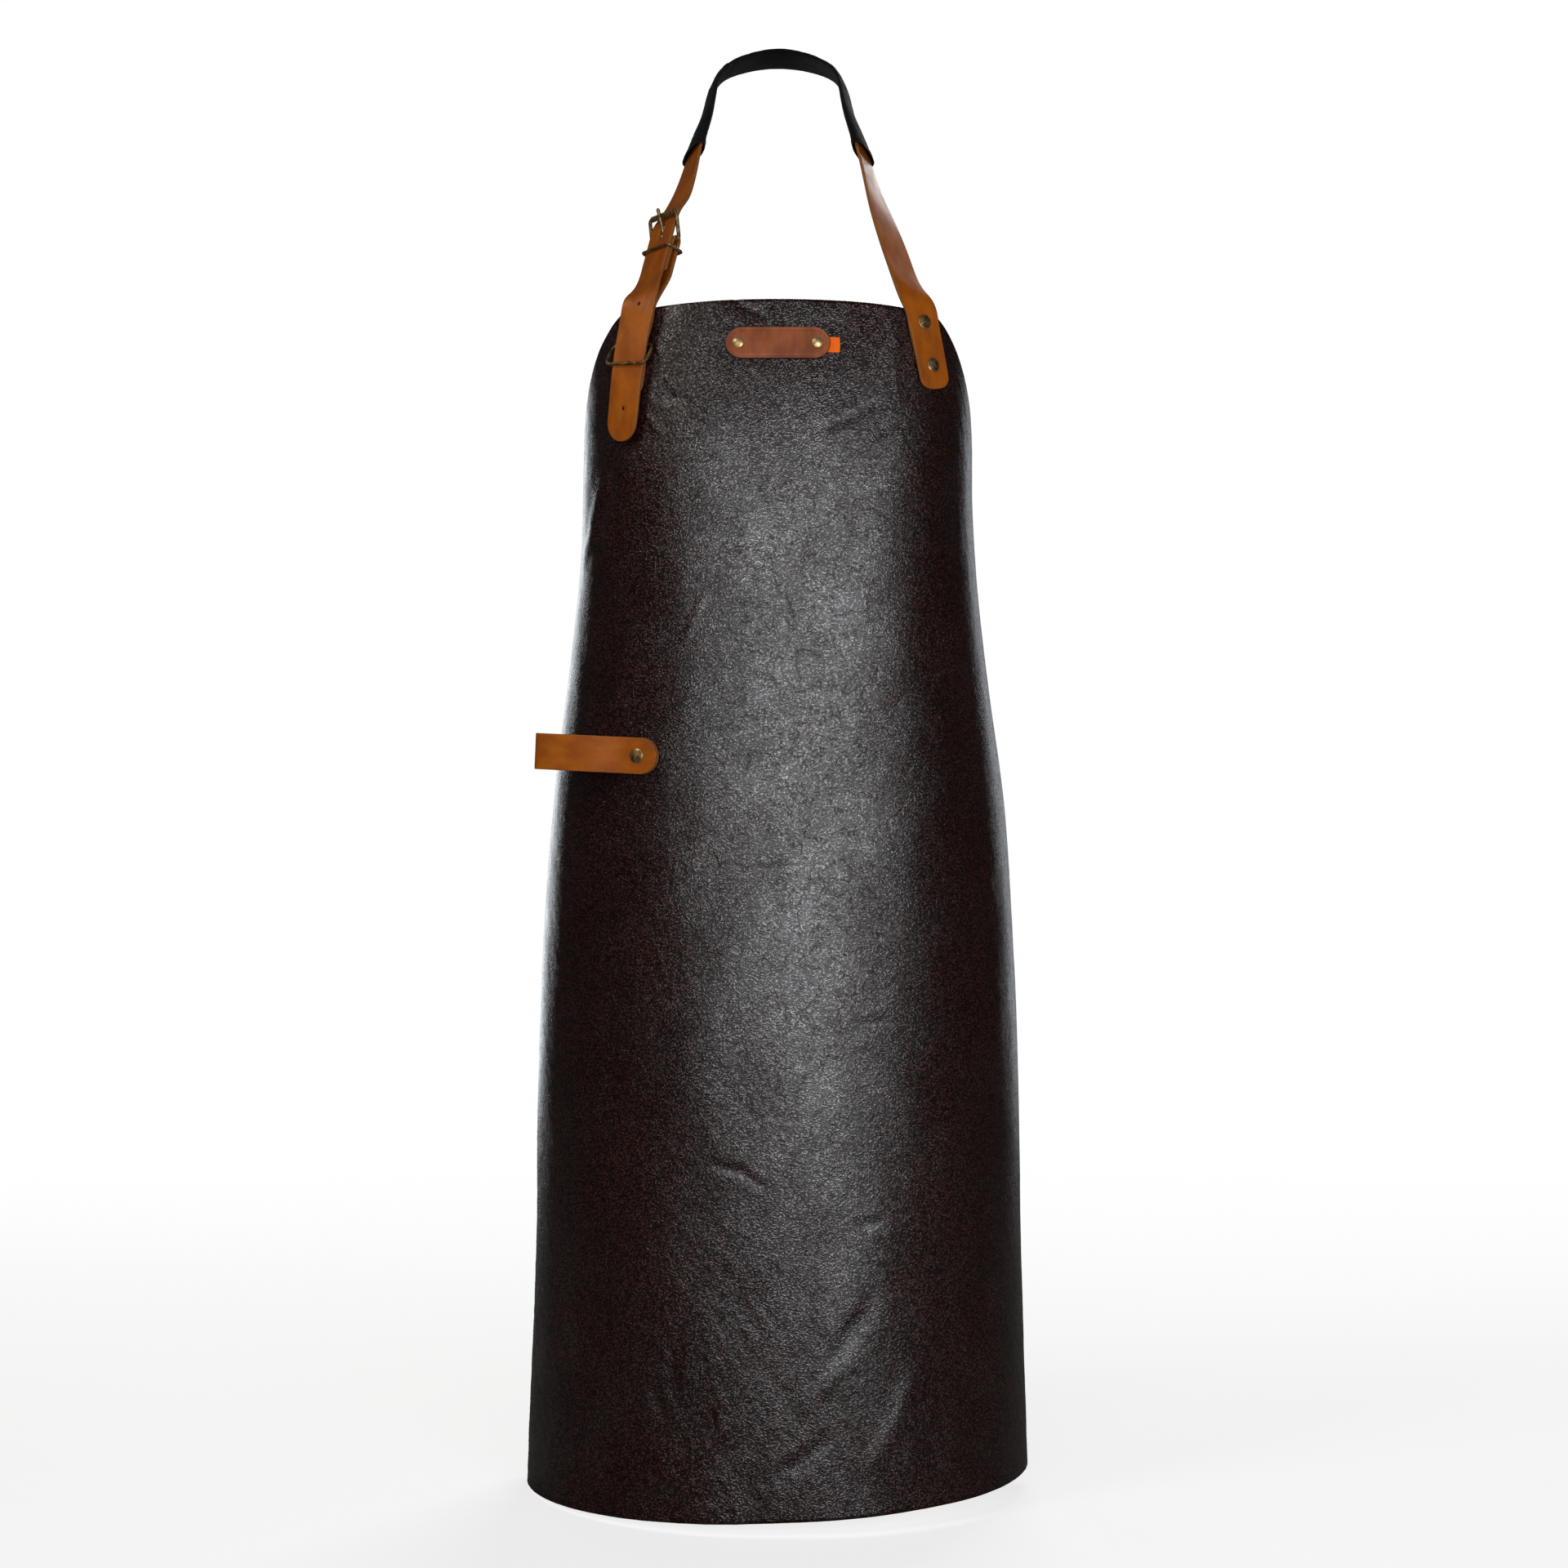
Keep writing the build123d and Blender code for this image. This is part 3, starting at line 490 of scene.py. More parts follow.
# ---------- panel ----------
def armhole_half_width(z):
    (s0, z0), (s1, z1), (s2, z2) = ARMHOLE
    t = np.linspace(0, 1, 201)
    heights = z0 * (1 - t) ** 2 + 2 * z1 * t * (1 - t) + z2 * t**2
    widths = s0 * (1 - t) ** 2 + 2 * s1 * t * (1 - t) + s2 * t**2
    below = s2 + (z2 - z) * (s2 - s1) / (z1 - z2)
    return np.where(z <= z2, below, np.interp(-z, -heights, widths))


def panel_half_width(z):
    k = WAIST_CORNER_SOFTNESS
    arm = armhole_half_width(z)
    low = np.minimum(SIDE_HALF_WIDTH, arm)
    return low - k * np.log(np.exp((low - SIDE_HALF_WIDTH) / k) + np.exp((low - arm) / k))


def panel_height(u, level, half):
    s = u * half
    crown_share = np.maximum(0, (level - CROWN_START_HEIGHT) / (ARMHOLE[0][1] - CROWN_START_HEIGHT)) ** 2
    hem_share = np.maximum(0, 1 - (level - HEM_HEIGHT) / HEM_FADE_HEIGHT) ** 2
    lift = HEM_CORNER_LIFT * np.maximum(0, (np.abs(s) - HEM_CORNER_START) / HEM_CORNER_WIDTH) ** 2.5
    skew = HEM_SKEW * on_torso(s, 0.0 * s)[:, 0] / HALF_WIDTHS[0][1]
    return level + BIB_CROWN * (1 - u * u) * crown_share + (lift + skew) * hem_share


# Creases: middle s and z, the way they run in degrees, length, width, depth (negative is a valley)
CREASES = (
    (-18, 985, 128, 62, 7, -0.9), (-30, 972, 132, 48, 6, 0.5),
    (-95, 925, 148, 60, 9, -1.2), (-78, 915, 150, 66, 8, -0.8), (-110, 905, 140, 40, 7, 0.8),
    (-176, 830, 62, 90, 22, 1.1), (-150, 850, 70, 70, 16, -0.8),
    (60, 905, 25, 60, 10, -0.5), (85, 880, 35, 60, 12, 0.5),
    (-40, 800, 8, 55, 7, -0.5), (-20, 780, -12, 60, 6, -0.4),
    (-55, 690, 20, 60, 8, -0.5), (-70, 740, 60, 50, 9, 0.5),
    (-30, 290, -25, 46, 10, -0.9), (75, 250, 5, 26, 11, -0.7), (78, 412, 0, 26, 10, -0.7),
    (62, 160, 62, 70, 22, -1.1), (40, 120, 60, 60, 18, 0.8),
    (-90, 120, 72, 90, 18, -0.9), (-60, 70, 60, 70, 16, 0.8), (-130, 180, 76, 110, 16, 0.7),
    (20, 60, 40, 60, 18, -0.8), (95, 90, 66, 80, 22, 0.9),
)
CREASE_STRENGTH = 1.15


def crease(s, z, middle_s, middle_z, angle, length, width, depth):
    """A soft ridge or valley, with a shallow swelling of the other sign beside it."""
    a = math.radians(angle)
    along = (s - middle_s) * math.cos(a) + (z - middle_z) * math.sin(a)
    across = -(s - middle_s) * math.sin(a) + (z - middle_z) * math.cos(a)
    across += 0.08 * length * value_noise(along / 18, middle_s + 0 * along, int(abs(middle_z)))
    fade = np.exp(-((along / (0.5 * length)) ** 4))
    t = across / (0.5 * width)
    return depth * fade * np.exp(-t * t) * (1 - 0.7 * t * t)


def panel_relief(s, z):
    """How far the worn leather stands off its smooth shape."""
    relief = 1.5 * layered_noise(s / 95, z / 190, 11, 2)
    relief += 0.55 * layered_noise(s / 34, z / 60, 23, 2)
    relief += 2.2 * smooth(420, 40, z) * layered_noise(s / 60, z / 420, 31, 1)
    for one in CREASES:
        relief += CREASE_STRENGTH * crease(s, z, *one)
    lower_left = smooth(620, 200, z) * smooth(60, -40, s) + 0.6 * smooth(300, 60, z)
    bib = 0.5 * smooth(800, 930, z)
    ridges = 1 - np.abs(layered_noise(s / 9 + 0.6 * z / 9, z / 34, 41, 2)) * 2.2
    relief += 0.22 * (0.35 + lower_left + bib) * np.clip(ridges, 0, 1) ** 3
    relief += 0.10 * layered_noise(s / 6, z / 6, 53, 2)
    return relief


# Where the panel is pressed flat: middle s and z, half width, half height
HELD_PADS = ((0, 963.5, 50, 15), (125, 965, 16, 38), (-122, 960, 17, 42), (-116, 628, 9, 9),
             (316, 690, 24, 16), (-316, 690, 24, 16))
HELD_FADE = 14.0
HELD_DEPTH = 0.25
PANEL_EDGE_ROUNDING = 0.45


def held_flat(s, z):
    """1 where straps, badge, tab or rivets press the panel flat, falling to 0 away from them."""
    held = np.zeros_like(s)
    for middle_s, middle_z, half_s, half_z in HELD_PADS:
        beside = np.maximum(0, np.abs(s - middle_s) - half_s)
        above = np.maximum(0, np.abs(z - middle_z) - half_z)
        held = np.maximum(held, 1 - smooth(0, HELD_FADE, np.hypot(beside, above)))
    return held


def make_panel():
    columns, rows = ((261, 381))
    shares = np.linspace(-1, 1, columns)
    levels = np.linspace(HEM_HEIGHT, ARMHOLE[0][1], rows)
    base, flat = [], []
    for level in levels:
        half = float(panel_half_width(level))
        heights = panel_height(shares, level, half)
        base.append(on_torso(shares * half, heights))
        flat.append(np.stack([shares * half, heights, np.zeros(columns)], axis=1))
    base, flat = np.array(base), np.array(flat)
    normals = unit(np.cross(np.gradient(base, axis=1), np.gradient(base, axis=0)))
    relief = panel_relief(flat[..., 0], flat[..., 1])
    held = held_flat(flat[..., 0], flat[..., 1])
    relief = relief * (1 - held) - HELD_DEPTH * held
    outer = base + normals * (PANEL_THICKNESS + relief)[..., None]
    inner = base + normals * relief[..., None]
    count = rows * columns
    vertices = [outer.reshape(-1, 3), inner.reshape(-1, 3)]
    faces = grid_faces(rows, columns) + grid_faces(rows, columns, count, flip=True)
    rim = [(0, j) for j in range(columns)] + [(i, columns - 1) for i in range(1, rows)]
    rim += [(rows - 1, j) for j in range(columns - 2, -1, -1)] + [(i, 0) for i in range(rows - 2, 0, -1)]
    middle = base.mean(axis=(0, 1))
    ring = []
    for k, (i, j) in enumerate(rim):
        before, after = rim[k - 1], rim[(k + 1) % len(rim)]
        along = unit(outer[after] - outer[before])
        outward = np.cross(along, normals[i, j])
        ring.append((outer[i, j] + inner[i, j]) / 2 + PANEL_EDGE_ROUNDING * outward)
    vertices.append(np.array(ring))
    for k in range(len(rim)):
        following = (k + 1) % len(rim)
        a, b = (rim[n][0] * columns + rim[n][1] for n in (k, following))
        p, q = 2 * count + k, 2 * count + following
        faces += [(a, p, q, b), (count + a, count + b, q, p)]
    flats = np.concatenate([flat.reshape(-1, 3), flat.reshape(-1, 3), np.array([flat[i, j] for i, j in rim])])
    panel = make_object("worn_panel", np.concatenate(vertices), faces, "apron", LEATHER)
    add_vector(panel, "flat", flats)
    panel.data.materials.append(FLESH)
    inner_faces = np.zeros(len(panel.data.polygons), np.int32)
    inner_faces[(rows - 1) * (columns - 1):2 * (rows - 1) * (columns - 1)] = 1
    panel.data.polygons.foreach_set("material_index", inner_faces)
    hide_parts("apron_panel")
    return panel


make_panel()


# ---------- flat leather pieces ----------
def even_loop(points, spacing):
    """The closed line through the points, with its points evenly spaced."""
    closed = np.vstack([points, points[:1]])
    reach = np.concatenate([[0], np.cumsum(np.linalg.norm(np.diff(closed, axis=0), axis=1))])
    count = max(10, int(round(reach[-1] / spacing)))
    at = np.arange(count) * reach[-1] / count
    return np.stack([np.interp(at, reach, closed[:, 0]), np.interp(at, reach, closed[:, 1])], axis=1)


def strap_outline(length, width, first, last, spacing):
    """A strap laid flat, x across and y along. Each end is a superellipse of a given depth and power."""
    angles = np.radians(np.arange(0, 181, 2))
    points = []
    for (depth, power), at_start in ((first, True), (last, False)):
        turn = math.pi + angles if at_start else angles
        x = width / 2 * np.sign(np.cos(turn)) * np.abs(np.cos(turn)) ** (2 / power)
        rise = depth * (1 - np.abs(np.sin(turn)) ** (2 / power))
        points.append(np.stack([x, rise if at_start else length - rise], axis=1))
    return even_loop(np.vstack(points), spacing)


def round_hole(x, y, radius):
    turn = -np.arange(14) * 2 * math.pi / 14
    return np.stack([x + radius * np.cos(turn), y + radius * np.sin(turn)], axis=1)


def long_hole(y, length, width):
    """A slot with round ends, lying along the strap."""
    turn = -np.radians(np.arange(0, 180, 20))
    straight = (length - width) / 2
    end = np.stack([width / 2 * np.cos(turn), y - straight + width / 2 * np.sin(turn)], axis=1)
    return even_loop(np.vstack([end, [0, 2 * y] - end]), 1.0)


def inside(loop, points):
    """Which points lie inside the closed loop."""
    a, b = loop, np.roll(loop, -1, axis=0)
    x, y = points[:, 0][:, None], points[:, 1][:, None]
    crosses = (a[:, 1] > y) != (b[:, 1] > y)
    rise = np.where(b[:, 1] == a[:, 1], 1e-9, b[:, 1] - a[:, 1])
    return (crosses & (x < a[:, 0] + (y - a[:, 1]) * (b[:, 0] - a[:, 0]) / rise)).sum(axis=1) % 2 == 1


def inset(loop, distance):
    """The loop moved into the material, which is on its left."""
    along = unit(np.roll(loop, -1, axis=0) - np.roll(loop, 1, axis=0))
    return loop + distance * np.stack([-along[:, 1], along[:, 0]], axis=1)


def sheet(name, place, outline, holes, thickness, finish, spacing=2.0, rounding=0.5, relief=None):
    """A flat piece with rounded edges. place turns x, y and a height off the middle into points;
    finish is the body, a material slot name, which is not used, and the material; relief lifts both faces."""
    loops = [outline] + list(holes)
    cores = [inset(loop, rounding) for loop in loops]
    low, high = outline.min(axis=0), outline.max(axis=0)
    counts = [max(2, int(round(size / spacing))) + 1 for size in high - low]
    grid = np.stack(np.meshgrid(*(np.linspace(a, b, n) for a, b, n in zip(low, high, counts))), axis=-1)
    grid = grid.reshape(-1, 2)
    border = np.vstack(cores)
    clear = np.ones(len(grid), bool)
    for start in range(0, len(grid), 2000):
        part = grid[start:start + 2000]
        gaps = np.linalg.norm(part[:, None] - border[None], axis=2).min(axis=1)
        clear[start:start + 2000] = gaps > 0.6 * spacing
    clear &= inside(cores[0], grid)
    for core in cores[1:]:
        clear &= ~inside(core, grid)
    flat = np.vstack([border, grid[clear]])
    edges, start = [], 0
    for core in cores:
        edges += [(start + i, start + (i + 1) % len(core)) for i in range(len(core))]
        start += len(core)
    _, _, triangles, _, _, _ = delaunay_2d_cdt([Vector(p) for p in flat], edges, [], 0, 1e-6)
    centres = np.array([flat[list(t)].mean(axis=0) for t in triangles])
    wanted = inside(cores[0], centres)
    for core in cores[1:]:
        wanted &= ~inside(core, centres)
    triangles = [tuple(t) for t, keep in zip(triangles, wanted) if keep]

    count = len(flat)
    half = thickness / 2
    blocks = [np.column_stack([flat, np.full(count, half)]), np.column_stack([flat, np.full(count, -half)])]
    edge_values = [np.where(np.arange(count) < start, 0.3, 0.0)] * 2
    faces = triangles + [tuple(count + i for i in reversed(t)) for t in triangles]
    turns = (30, 60, 90, 90, 60, 30)
    made, first = 2 * count, 0
    for loop in loops:
        size = len(loop)
        rings = [np.arange(first, first + size)]
        for k, turn in enumerate(np.radians(turns)):
            height = (half - rounding * (1 - math.cos(turn))) * (1 if k < 3 else -1)
            ring = inset(loop, rounding * (1 - math.sin(turn)))
            blocks.append(np.column_stack([ring, np.full(size, height)]))
            edge_values.append(np.full(size, 0.7 if turns[k] == 30 else 1.0))
            rings.append(np.arange(made, made + size))
            made += size
        rings.append(np.arange(count + first, count + first + size))
        for upper, lower in zip(rings, rings[1:]):
            faces += list(zip(upper, lower, np.roll(lower, -1), np.roll(upper, -1)))
        first += size
    local = np.vstack(blocks)
    lift = relief(local[:, 0], local[:, 1]) if relief else 0.0
    points = place(local[:, 0], local[:, 1], local[:, 2] + lift)
    body, slot, material = finish
    piece = make_object(name, points, [tuple(int(i) for i in face) for face in faces], body, material)
    add_vector(piece, "flat", local)
    add_value(piece, "edge", np.concatenate(edge_values))
    add_value(piece, "flesh", smooth(0.1, -0.4 * half, local[:, 2]))
    return piece


class Path:
    """A strap's middle line, smooth through its stations, each a point and the way the outer face looks."""

    def __init__(self, stations):
        self.points = np.array([p for p, n in stations], float)
        self.normals = np.array([n for p, n in stations], float)
        steps = np.linalg.norm(np.diff(self.points, axis=0), axis=1)
        self.reach = np.concatenate([[0], np.cumsum(steps)])
        self.length = self.reach[-1]

    def frames(self, y):
        centres = through(self.reach, self.points, y)
        tangents = unit(through(self.reach, self.points, np.asarray(y) + 0.5)
                        - through(self.reach, self.points, np.asarray(y) - 0.5))
        normals = through(self.reach, self.normals, y)
        normals = unit(normals - tangents * (normals * tangents).sum(axis=1, keepdims=True))
        return centres, np.cross(tangents, normals), normals

    def place(self, x, y, height):
        centres, across, normals = self.frames(y)
        return centres + across * np.reshape(x, (-1, 1)) + normals * np.reshape(height, (-1, 1))

    def nearest(self, point):
        y = np.linspace(0, self.length, 2001)
        return y[np.argmin(np.linalg.norm(through(self.reach, self.points, y) - point, axis=1))]


class BucklePlane:
    """The plane of a strap's middle above the buckle's heel bar."""

    def __init__(self, origin, across, up):
        self.origin, self.across, self.up = (np.asarray(v, float) for v in (origin, across, up))
        self.out = np.cross(self.across, self.up)

    def point(self, x, y, z):
        return self.origin + x * self.across + y * self.up + z * self.out

    def fold(self):
        """Strap round the heel bar: back leg up, half turn, front leg down."""
        stations = []
        for along in (-32, -24, -16, -8, 0):
            stations.append((self.point(0, along, -HEEL_DEPTH - FOLD_RADIUS), self.out))
        for turn in np.radians((30, 60, 90, 120, 150)):
            rise, depth = math.sin(turn), math.cos(turn)
            stations.append((self.point(0, FOLD_RADIUS * rise, -HEEL_DEPTH - FOLD_RADIUS * depth),
                             depth * self.out - rise * self.up))
        for along in (0, -8, -16, -24, -FOLD_LEG):
            stations.append((self.point(0, along, -HEEL_DEPTH + FOLD_RADIUS), -self.out))
        return stations

    def straight(self, high, low, step):
        return [(self.point(0, along, 0), self.out) for along in np.arange(high, low - 1, -step)]


def neck_plane():
    up = unit(NECK_BUCKLE_UP)
    across = np.array([*NECK_BUCKLE_ACROSS, 0.0])
    across = unit(across - np.array([0, 0, (across @ up) / up[2]]))
    return BucklePlane(np.array(NECK_BUCKLE_FOOT) + NECK_BUCKLE_RISE * up, across, up)


def waist_plane():
    out = torso_normal(WAIST_BUCKLE, WAIST_HEIGHT)[0]
    across = unit(np.array([0, 0, -1.0]) + out * out[2])
    return BucklePlane(skin(WAIST_BUCKLE, WAIST_HEIGHT, WAIST_BUCKLE_OUT)[0], across, np.cross(out, across))


def on_skin(s, z, out):
    return skin(s, z, out)[0], torso_normal(s, z)[0]


def neck_path(plane):
    stations = [on_skin(s, z, STRAP_MIDDLE) for s, z in RIGHT_STRAP_FEET] + list(NECK_LINE)
    for (x, y, z), (nx, ny, nz) in NECK_LINE[-2:-2 - MIRRORED_STATIONS:-1]:
        stations.append(((-x, y, z), (-nx, ny, nz)))
    stations += list(ABOVE_BUCKLE) + plane.straight(NECK_STRAIGHT_ABOVE, -STRAIGHT, 7.5)
    return Path(stations + [on_skin(s, z, out) for s, z, out in TAIL_LINE])


def strap_waves(seed, height=0.25):
    """Slight unevenness of a worn strap."""
    return lambda x, y: height * layered_noise(y / 30, x / 60, seed, 2)


NECK_PLANE = neck_plane()
WAIST_PLANE = waist_plane()
NECK_PATH = neck_path(NECK_PLANE)
RIVET_END = (11.0, 2.6)
TIP_END = (16.0, 2.0)
FOLD_END = (2.0, 4.0)
LOOP_END = (15.0, 2.0)
SPACING = 1.7
FINE_SPACING = 0.8 * SPACING


def bend_at_bib(piece):
    """Bakes the piece's placement into its mesh points; it rides on no body."""
    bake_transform(piece)


def make_neck_strap():
    path = NECK_PATH
    outline = strap_outline(path.length, STRAP_WIDTH, RIVET_END, TIP_END, SPACING)
    holes = [round_hole(0, path.nearest(skin(s, z, STRAP_MIDDLE)[0]), RIVET_HOLE) for s, z in RIGHT_RIVETS]
    heel = path.nearest(NECK_PLANE.origin)
    holes += [round_hole(0, heel + along, HOLE_RADIUS) for along in TAIL_HOLES]
    holes.append(tail_slot(path, NECK_PLANE))
    finish = (None, "strap_leather", TAN)
    strap = sheet("worn_neck_strap", path.place, outline, holes, STRAP_THICKNESS, finish, SPACING,
                  relief=strap_waves(5, 0.2))
    bend_at_bib(strap)
    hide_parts("neck_strap")


def tail_slot(path, plane):
    """The hole that the prong goes through, worn long."""
    return long_hole(path.nearest(plane.point(0, PRONG_SLOT_UP, 0)), SLOT_LENGTH, SLOT_WIDTH)


def fold_slot(path, plane):
    """The prong's slot in the folded strap, from one leg round the fold to the other."""
    back = path.nearest(plane.point(0, -5, -HEEL_DEPTH - FOLD_RADIUS))
    front = path.nearest(plane.point(0, -5, -HEEL_DEPTH + FOLD_RADIUS))
    return long_hole((back + front) / 2, front - back, SLOT_WIDTH)


def make_buckle_strap():
    stations = [on_skin(s, z, STRAP_MIDDLE + lift) for s, z, lift in LEFT_STRAP_FEET] + NECK_PLANE.fold()
    path = Path(stations)
    outline = strap_outline(path.length, STRAP_WIDTH, RIVET_END, FOLD_END, SPACING)
    holes = [round_hole(0, path.nearest(skin(s, z, STRAP_MIDDLE)[0]), RIVET_HOLE) for s, z in LEFT_RIVETS]
    holes.append(fold_slot(path, NECK_PLANE))
    strap = sheet("worn_buckle_strap", path.place, outline, holes, STRAP_THICKNESS,
                  (None, "strap_leather", TAN), FINE_SPACING)
    bend_at_bib(strap)
    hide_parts("buckle_strap")


def make_waist_strap(name, stations, side, last, prong_hole):
    """One half of the belt, riveted to the panel's corner on its side."""
    path = Path(stations)
    outline = strap_outline(path.length, STRAP_WIDTH, RIVET_END, last, SPACING)
    feet = [skin(side * s, WAIST_HEIGHT, STRAP_MIDDLE)[0] for s in WAIST_RIVETS]
    holes = [round_hole(0, path.nearest(foot), RIVET_HOLE) for foot in feet]
    holes.append(prong_hole(path))
    strap = sheet("worn_" + name, path.place, outline, holes, STRAP_THICKNESS,
                  (None, "strap_leather", TAN), SPACING)
    y = skin(WAIST_RIVETS[1], WAIST_HEIGHT)[0][1] * MM
    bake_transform(strap)
    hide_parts(name)


def make_waist_straps():
    starts = np.arange(WAIST_STRAP_END, 460, 16)
    tail = [on_skin(-s, WAIST_HEIGHT, STRAP_MIDDLE) for s in starts]
    tail += WAIST_PLANE.straight(STRAIGHT, -STRAIGHT - 5, 10)
    tail += [on_skin(s, WAIST_HEIGHT, out) for s, out in WAIST_TAIL]
    make_waist_strap("waist_strap", tail, -1, TIP_END, lambda path: tail_slot(path, WAIST_PLANE))
    folded = [on_skin(s, WAIST_HEIGHT, STRAP_MIDDLE) for s in starts] + WAIST_PLANE.fold()
    make_waist_strap("waist_buckle_strap", folded, 1, FOLD_END, lambda path: fold_slot(path, WAIST_PLANE))


def towel_loop_line():
    """The strap's line: how far along and out from the rivet, then the way its outer face looks."""
    half = STRAP_THICKNESS / 2
    lower, upper = half + 0.15, 3 * half + 0.2
    end, fold = TOWEL_LOOP_END, TOWEL_LOOP_FOLD
    turn_at = end - TOWEL_LOOP_LENGTH + fold
    middle = lower + 1 + fold
    back = ((end, 0), (8, 0), (0, 0), (-8, 0), (-40, 0.6), (-70, 1), (turn_at, 1))
    line = [(x, lower + rise, 0, -1) for x, rise in back]
    for turn in np.radians((30, 60, 90, 120, 150)):
        across, out = math.sin(turn), math.cos(turn)
        line.append((turn_at - fold * across, middle - fold * out, -across, -out))
    front = ((turn_at, middle + fold), (-70, middle + fold - 0.8), (-40, upper + 6.5), (-14, upper + 0.6))
    line += [(x, z, 0, 1) for x, z in front]
    line += [(x, upper, 0, 1) for x in (-6, 0, 8, end)]
    return line


def make_towel_loop():
    """Strap folded back on itself, both ends under one rivet, standing off the panel."""
    centre, out = on_skin(*TOWEL_RIVET, PANEL_THICKNESS)
    level = unit(np.cross((0, 0, 1), out))
    tilt = math.radians(-TOWEL_LOOP_TILT)
    along = level * math.cos(tilt) + np.cross(out, level) * math.sin(tilt)
    line = towel_loop_line()
    path = Path([(centre + x * along + z * out, nx * along + nz * out) for x, z, nx, nz in line])
    outline = strap_outline(path.length, STRAP_WIDTH, LOOP_END, LOOP_END, SPACING)
    holes = [round_hole(0, y, RIVET_HOLE) for y in (TOWEL_LOOP_END, path.length - TOWEL_LOOP_END)]
    loop = sheet("worn_towel_loop", path.place, outline, holes, STRAP_THICKNESS,
                 ("towel_hanger", "strap_leather", TAN), FINE_SPACING, relief=strap_waves(9, 0.15))
    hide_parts("towel_loop")


def make_badge():
    """Leather lozenge on two rivets, with a line pressed in just inside its edge."""
    half = BADGE_HEIGHT / 2
    outline = strap_outline(BADGE_LENGTH, BADGE_HEIGHT, (half, 2.0), (half, 2.0), 1.0)
    outline = outline[:, ::-1] * [1, -1] - [BADGE_LENGTH / 2, 0]

    def relief(x, y):
        straight = BADGE_LENGTH / 2 - half
        depth = half - np.hypot(np.maximum(0, np.abs(x) - straight), y)
        line = -BADGE_LINE_DEPTH * np.exp(-((depth - BADGE_LINE_INSET) / BADGE_LINE_WIDTH) ** 2)
        pressed = -0.3 * np.exp(-(np.hypot(np.abs(x) - BADGE_RIVET_SPACING / 2, y) / 6.5) ** 4)
        return line + pressed + 0.12 * layered_noise(x / 12, y / 9, 77, 2)

    def place(x, y, height):
        return skin(x, BADGE_CENTRE + y, BADGE_MIDDLE + height)

    holes = [round_hole(side * BADGE_RIVET_SPACING / 2, 0, BADGE_RIVET_HOLE) for side in (-1, 1)]
    finish = ("apron", "badge_leather", CHESTNUT)
    badge = sheet("worn_badge", place, outline, holes, BADGE_THICKNESS, finish, 0.8, rounding=0.7,
                  relief=relief)
    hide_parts("badge")


def make_side_tab():
    """Short ribbon caught under the badge's rivet, its free end standing out beside the badge."""
    middle = (TAB_START + TAB_END) / 2
    corner = (0.8, 3.0)
    outline = strap_outline(TAB_END - TAB_START, TAB_HEIGHT, corner, corner, 1.0)
    outline = outline[:, ::-1] * [1, -1] - [(TAB_END - TAB_START) / 2, 0]

    def place(x, y, out):
        return skin(middle + x, BADGE_CENTRE - 1 + y, PANEL_THICKNESS + 0.1 + TAB_THICKNESS / 2 + out)

    def waves(x, y):
        return 0.2 * layered_noise(x / 9, y / 9, 15, 2) * smooth(0, 12, x)

    holes = [round_hole(BADGE_RIVET_SPACING / 2 - middle, 0, BADGE_RIVET_HOLE)]
    finish = ("apron", "tab_fabric", ORANGE)
    tab = sheet("worn_side_tab", place, outline, holes, TAB_THICKNESS, finish, 1.0, rounding=0.3,
                relief=waves)
    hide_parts("side_tab")


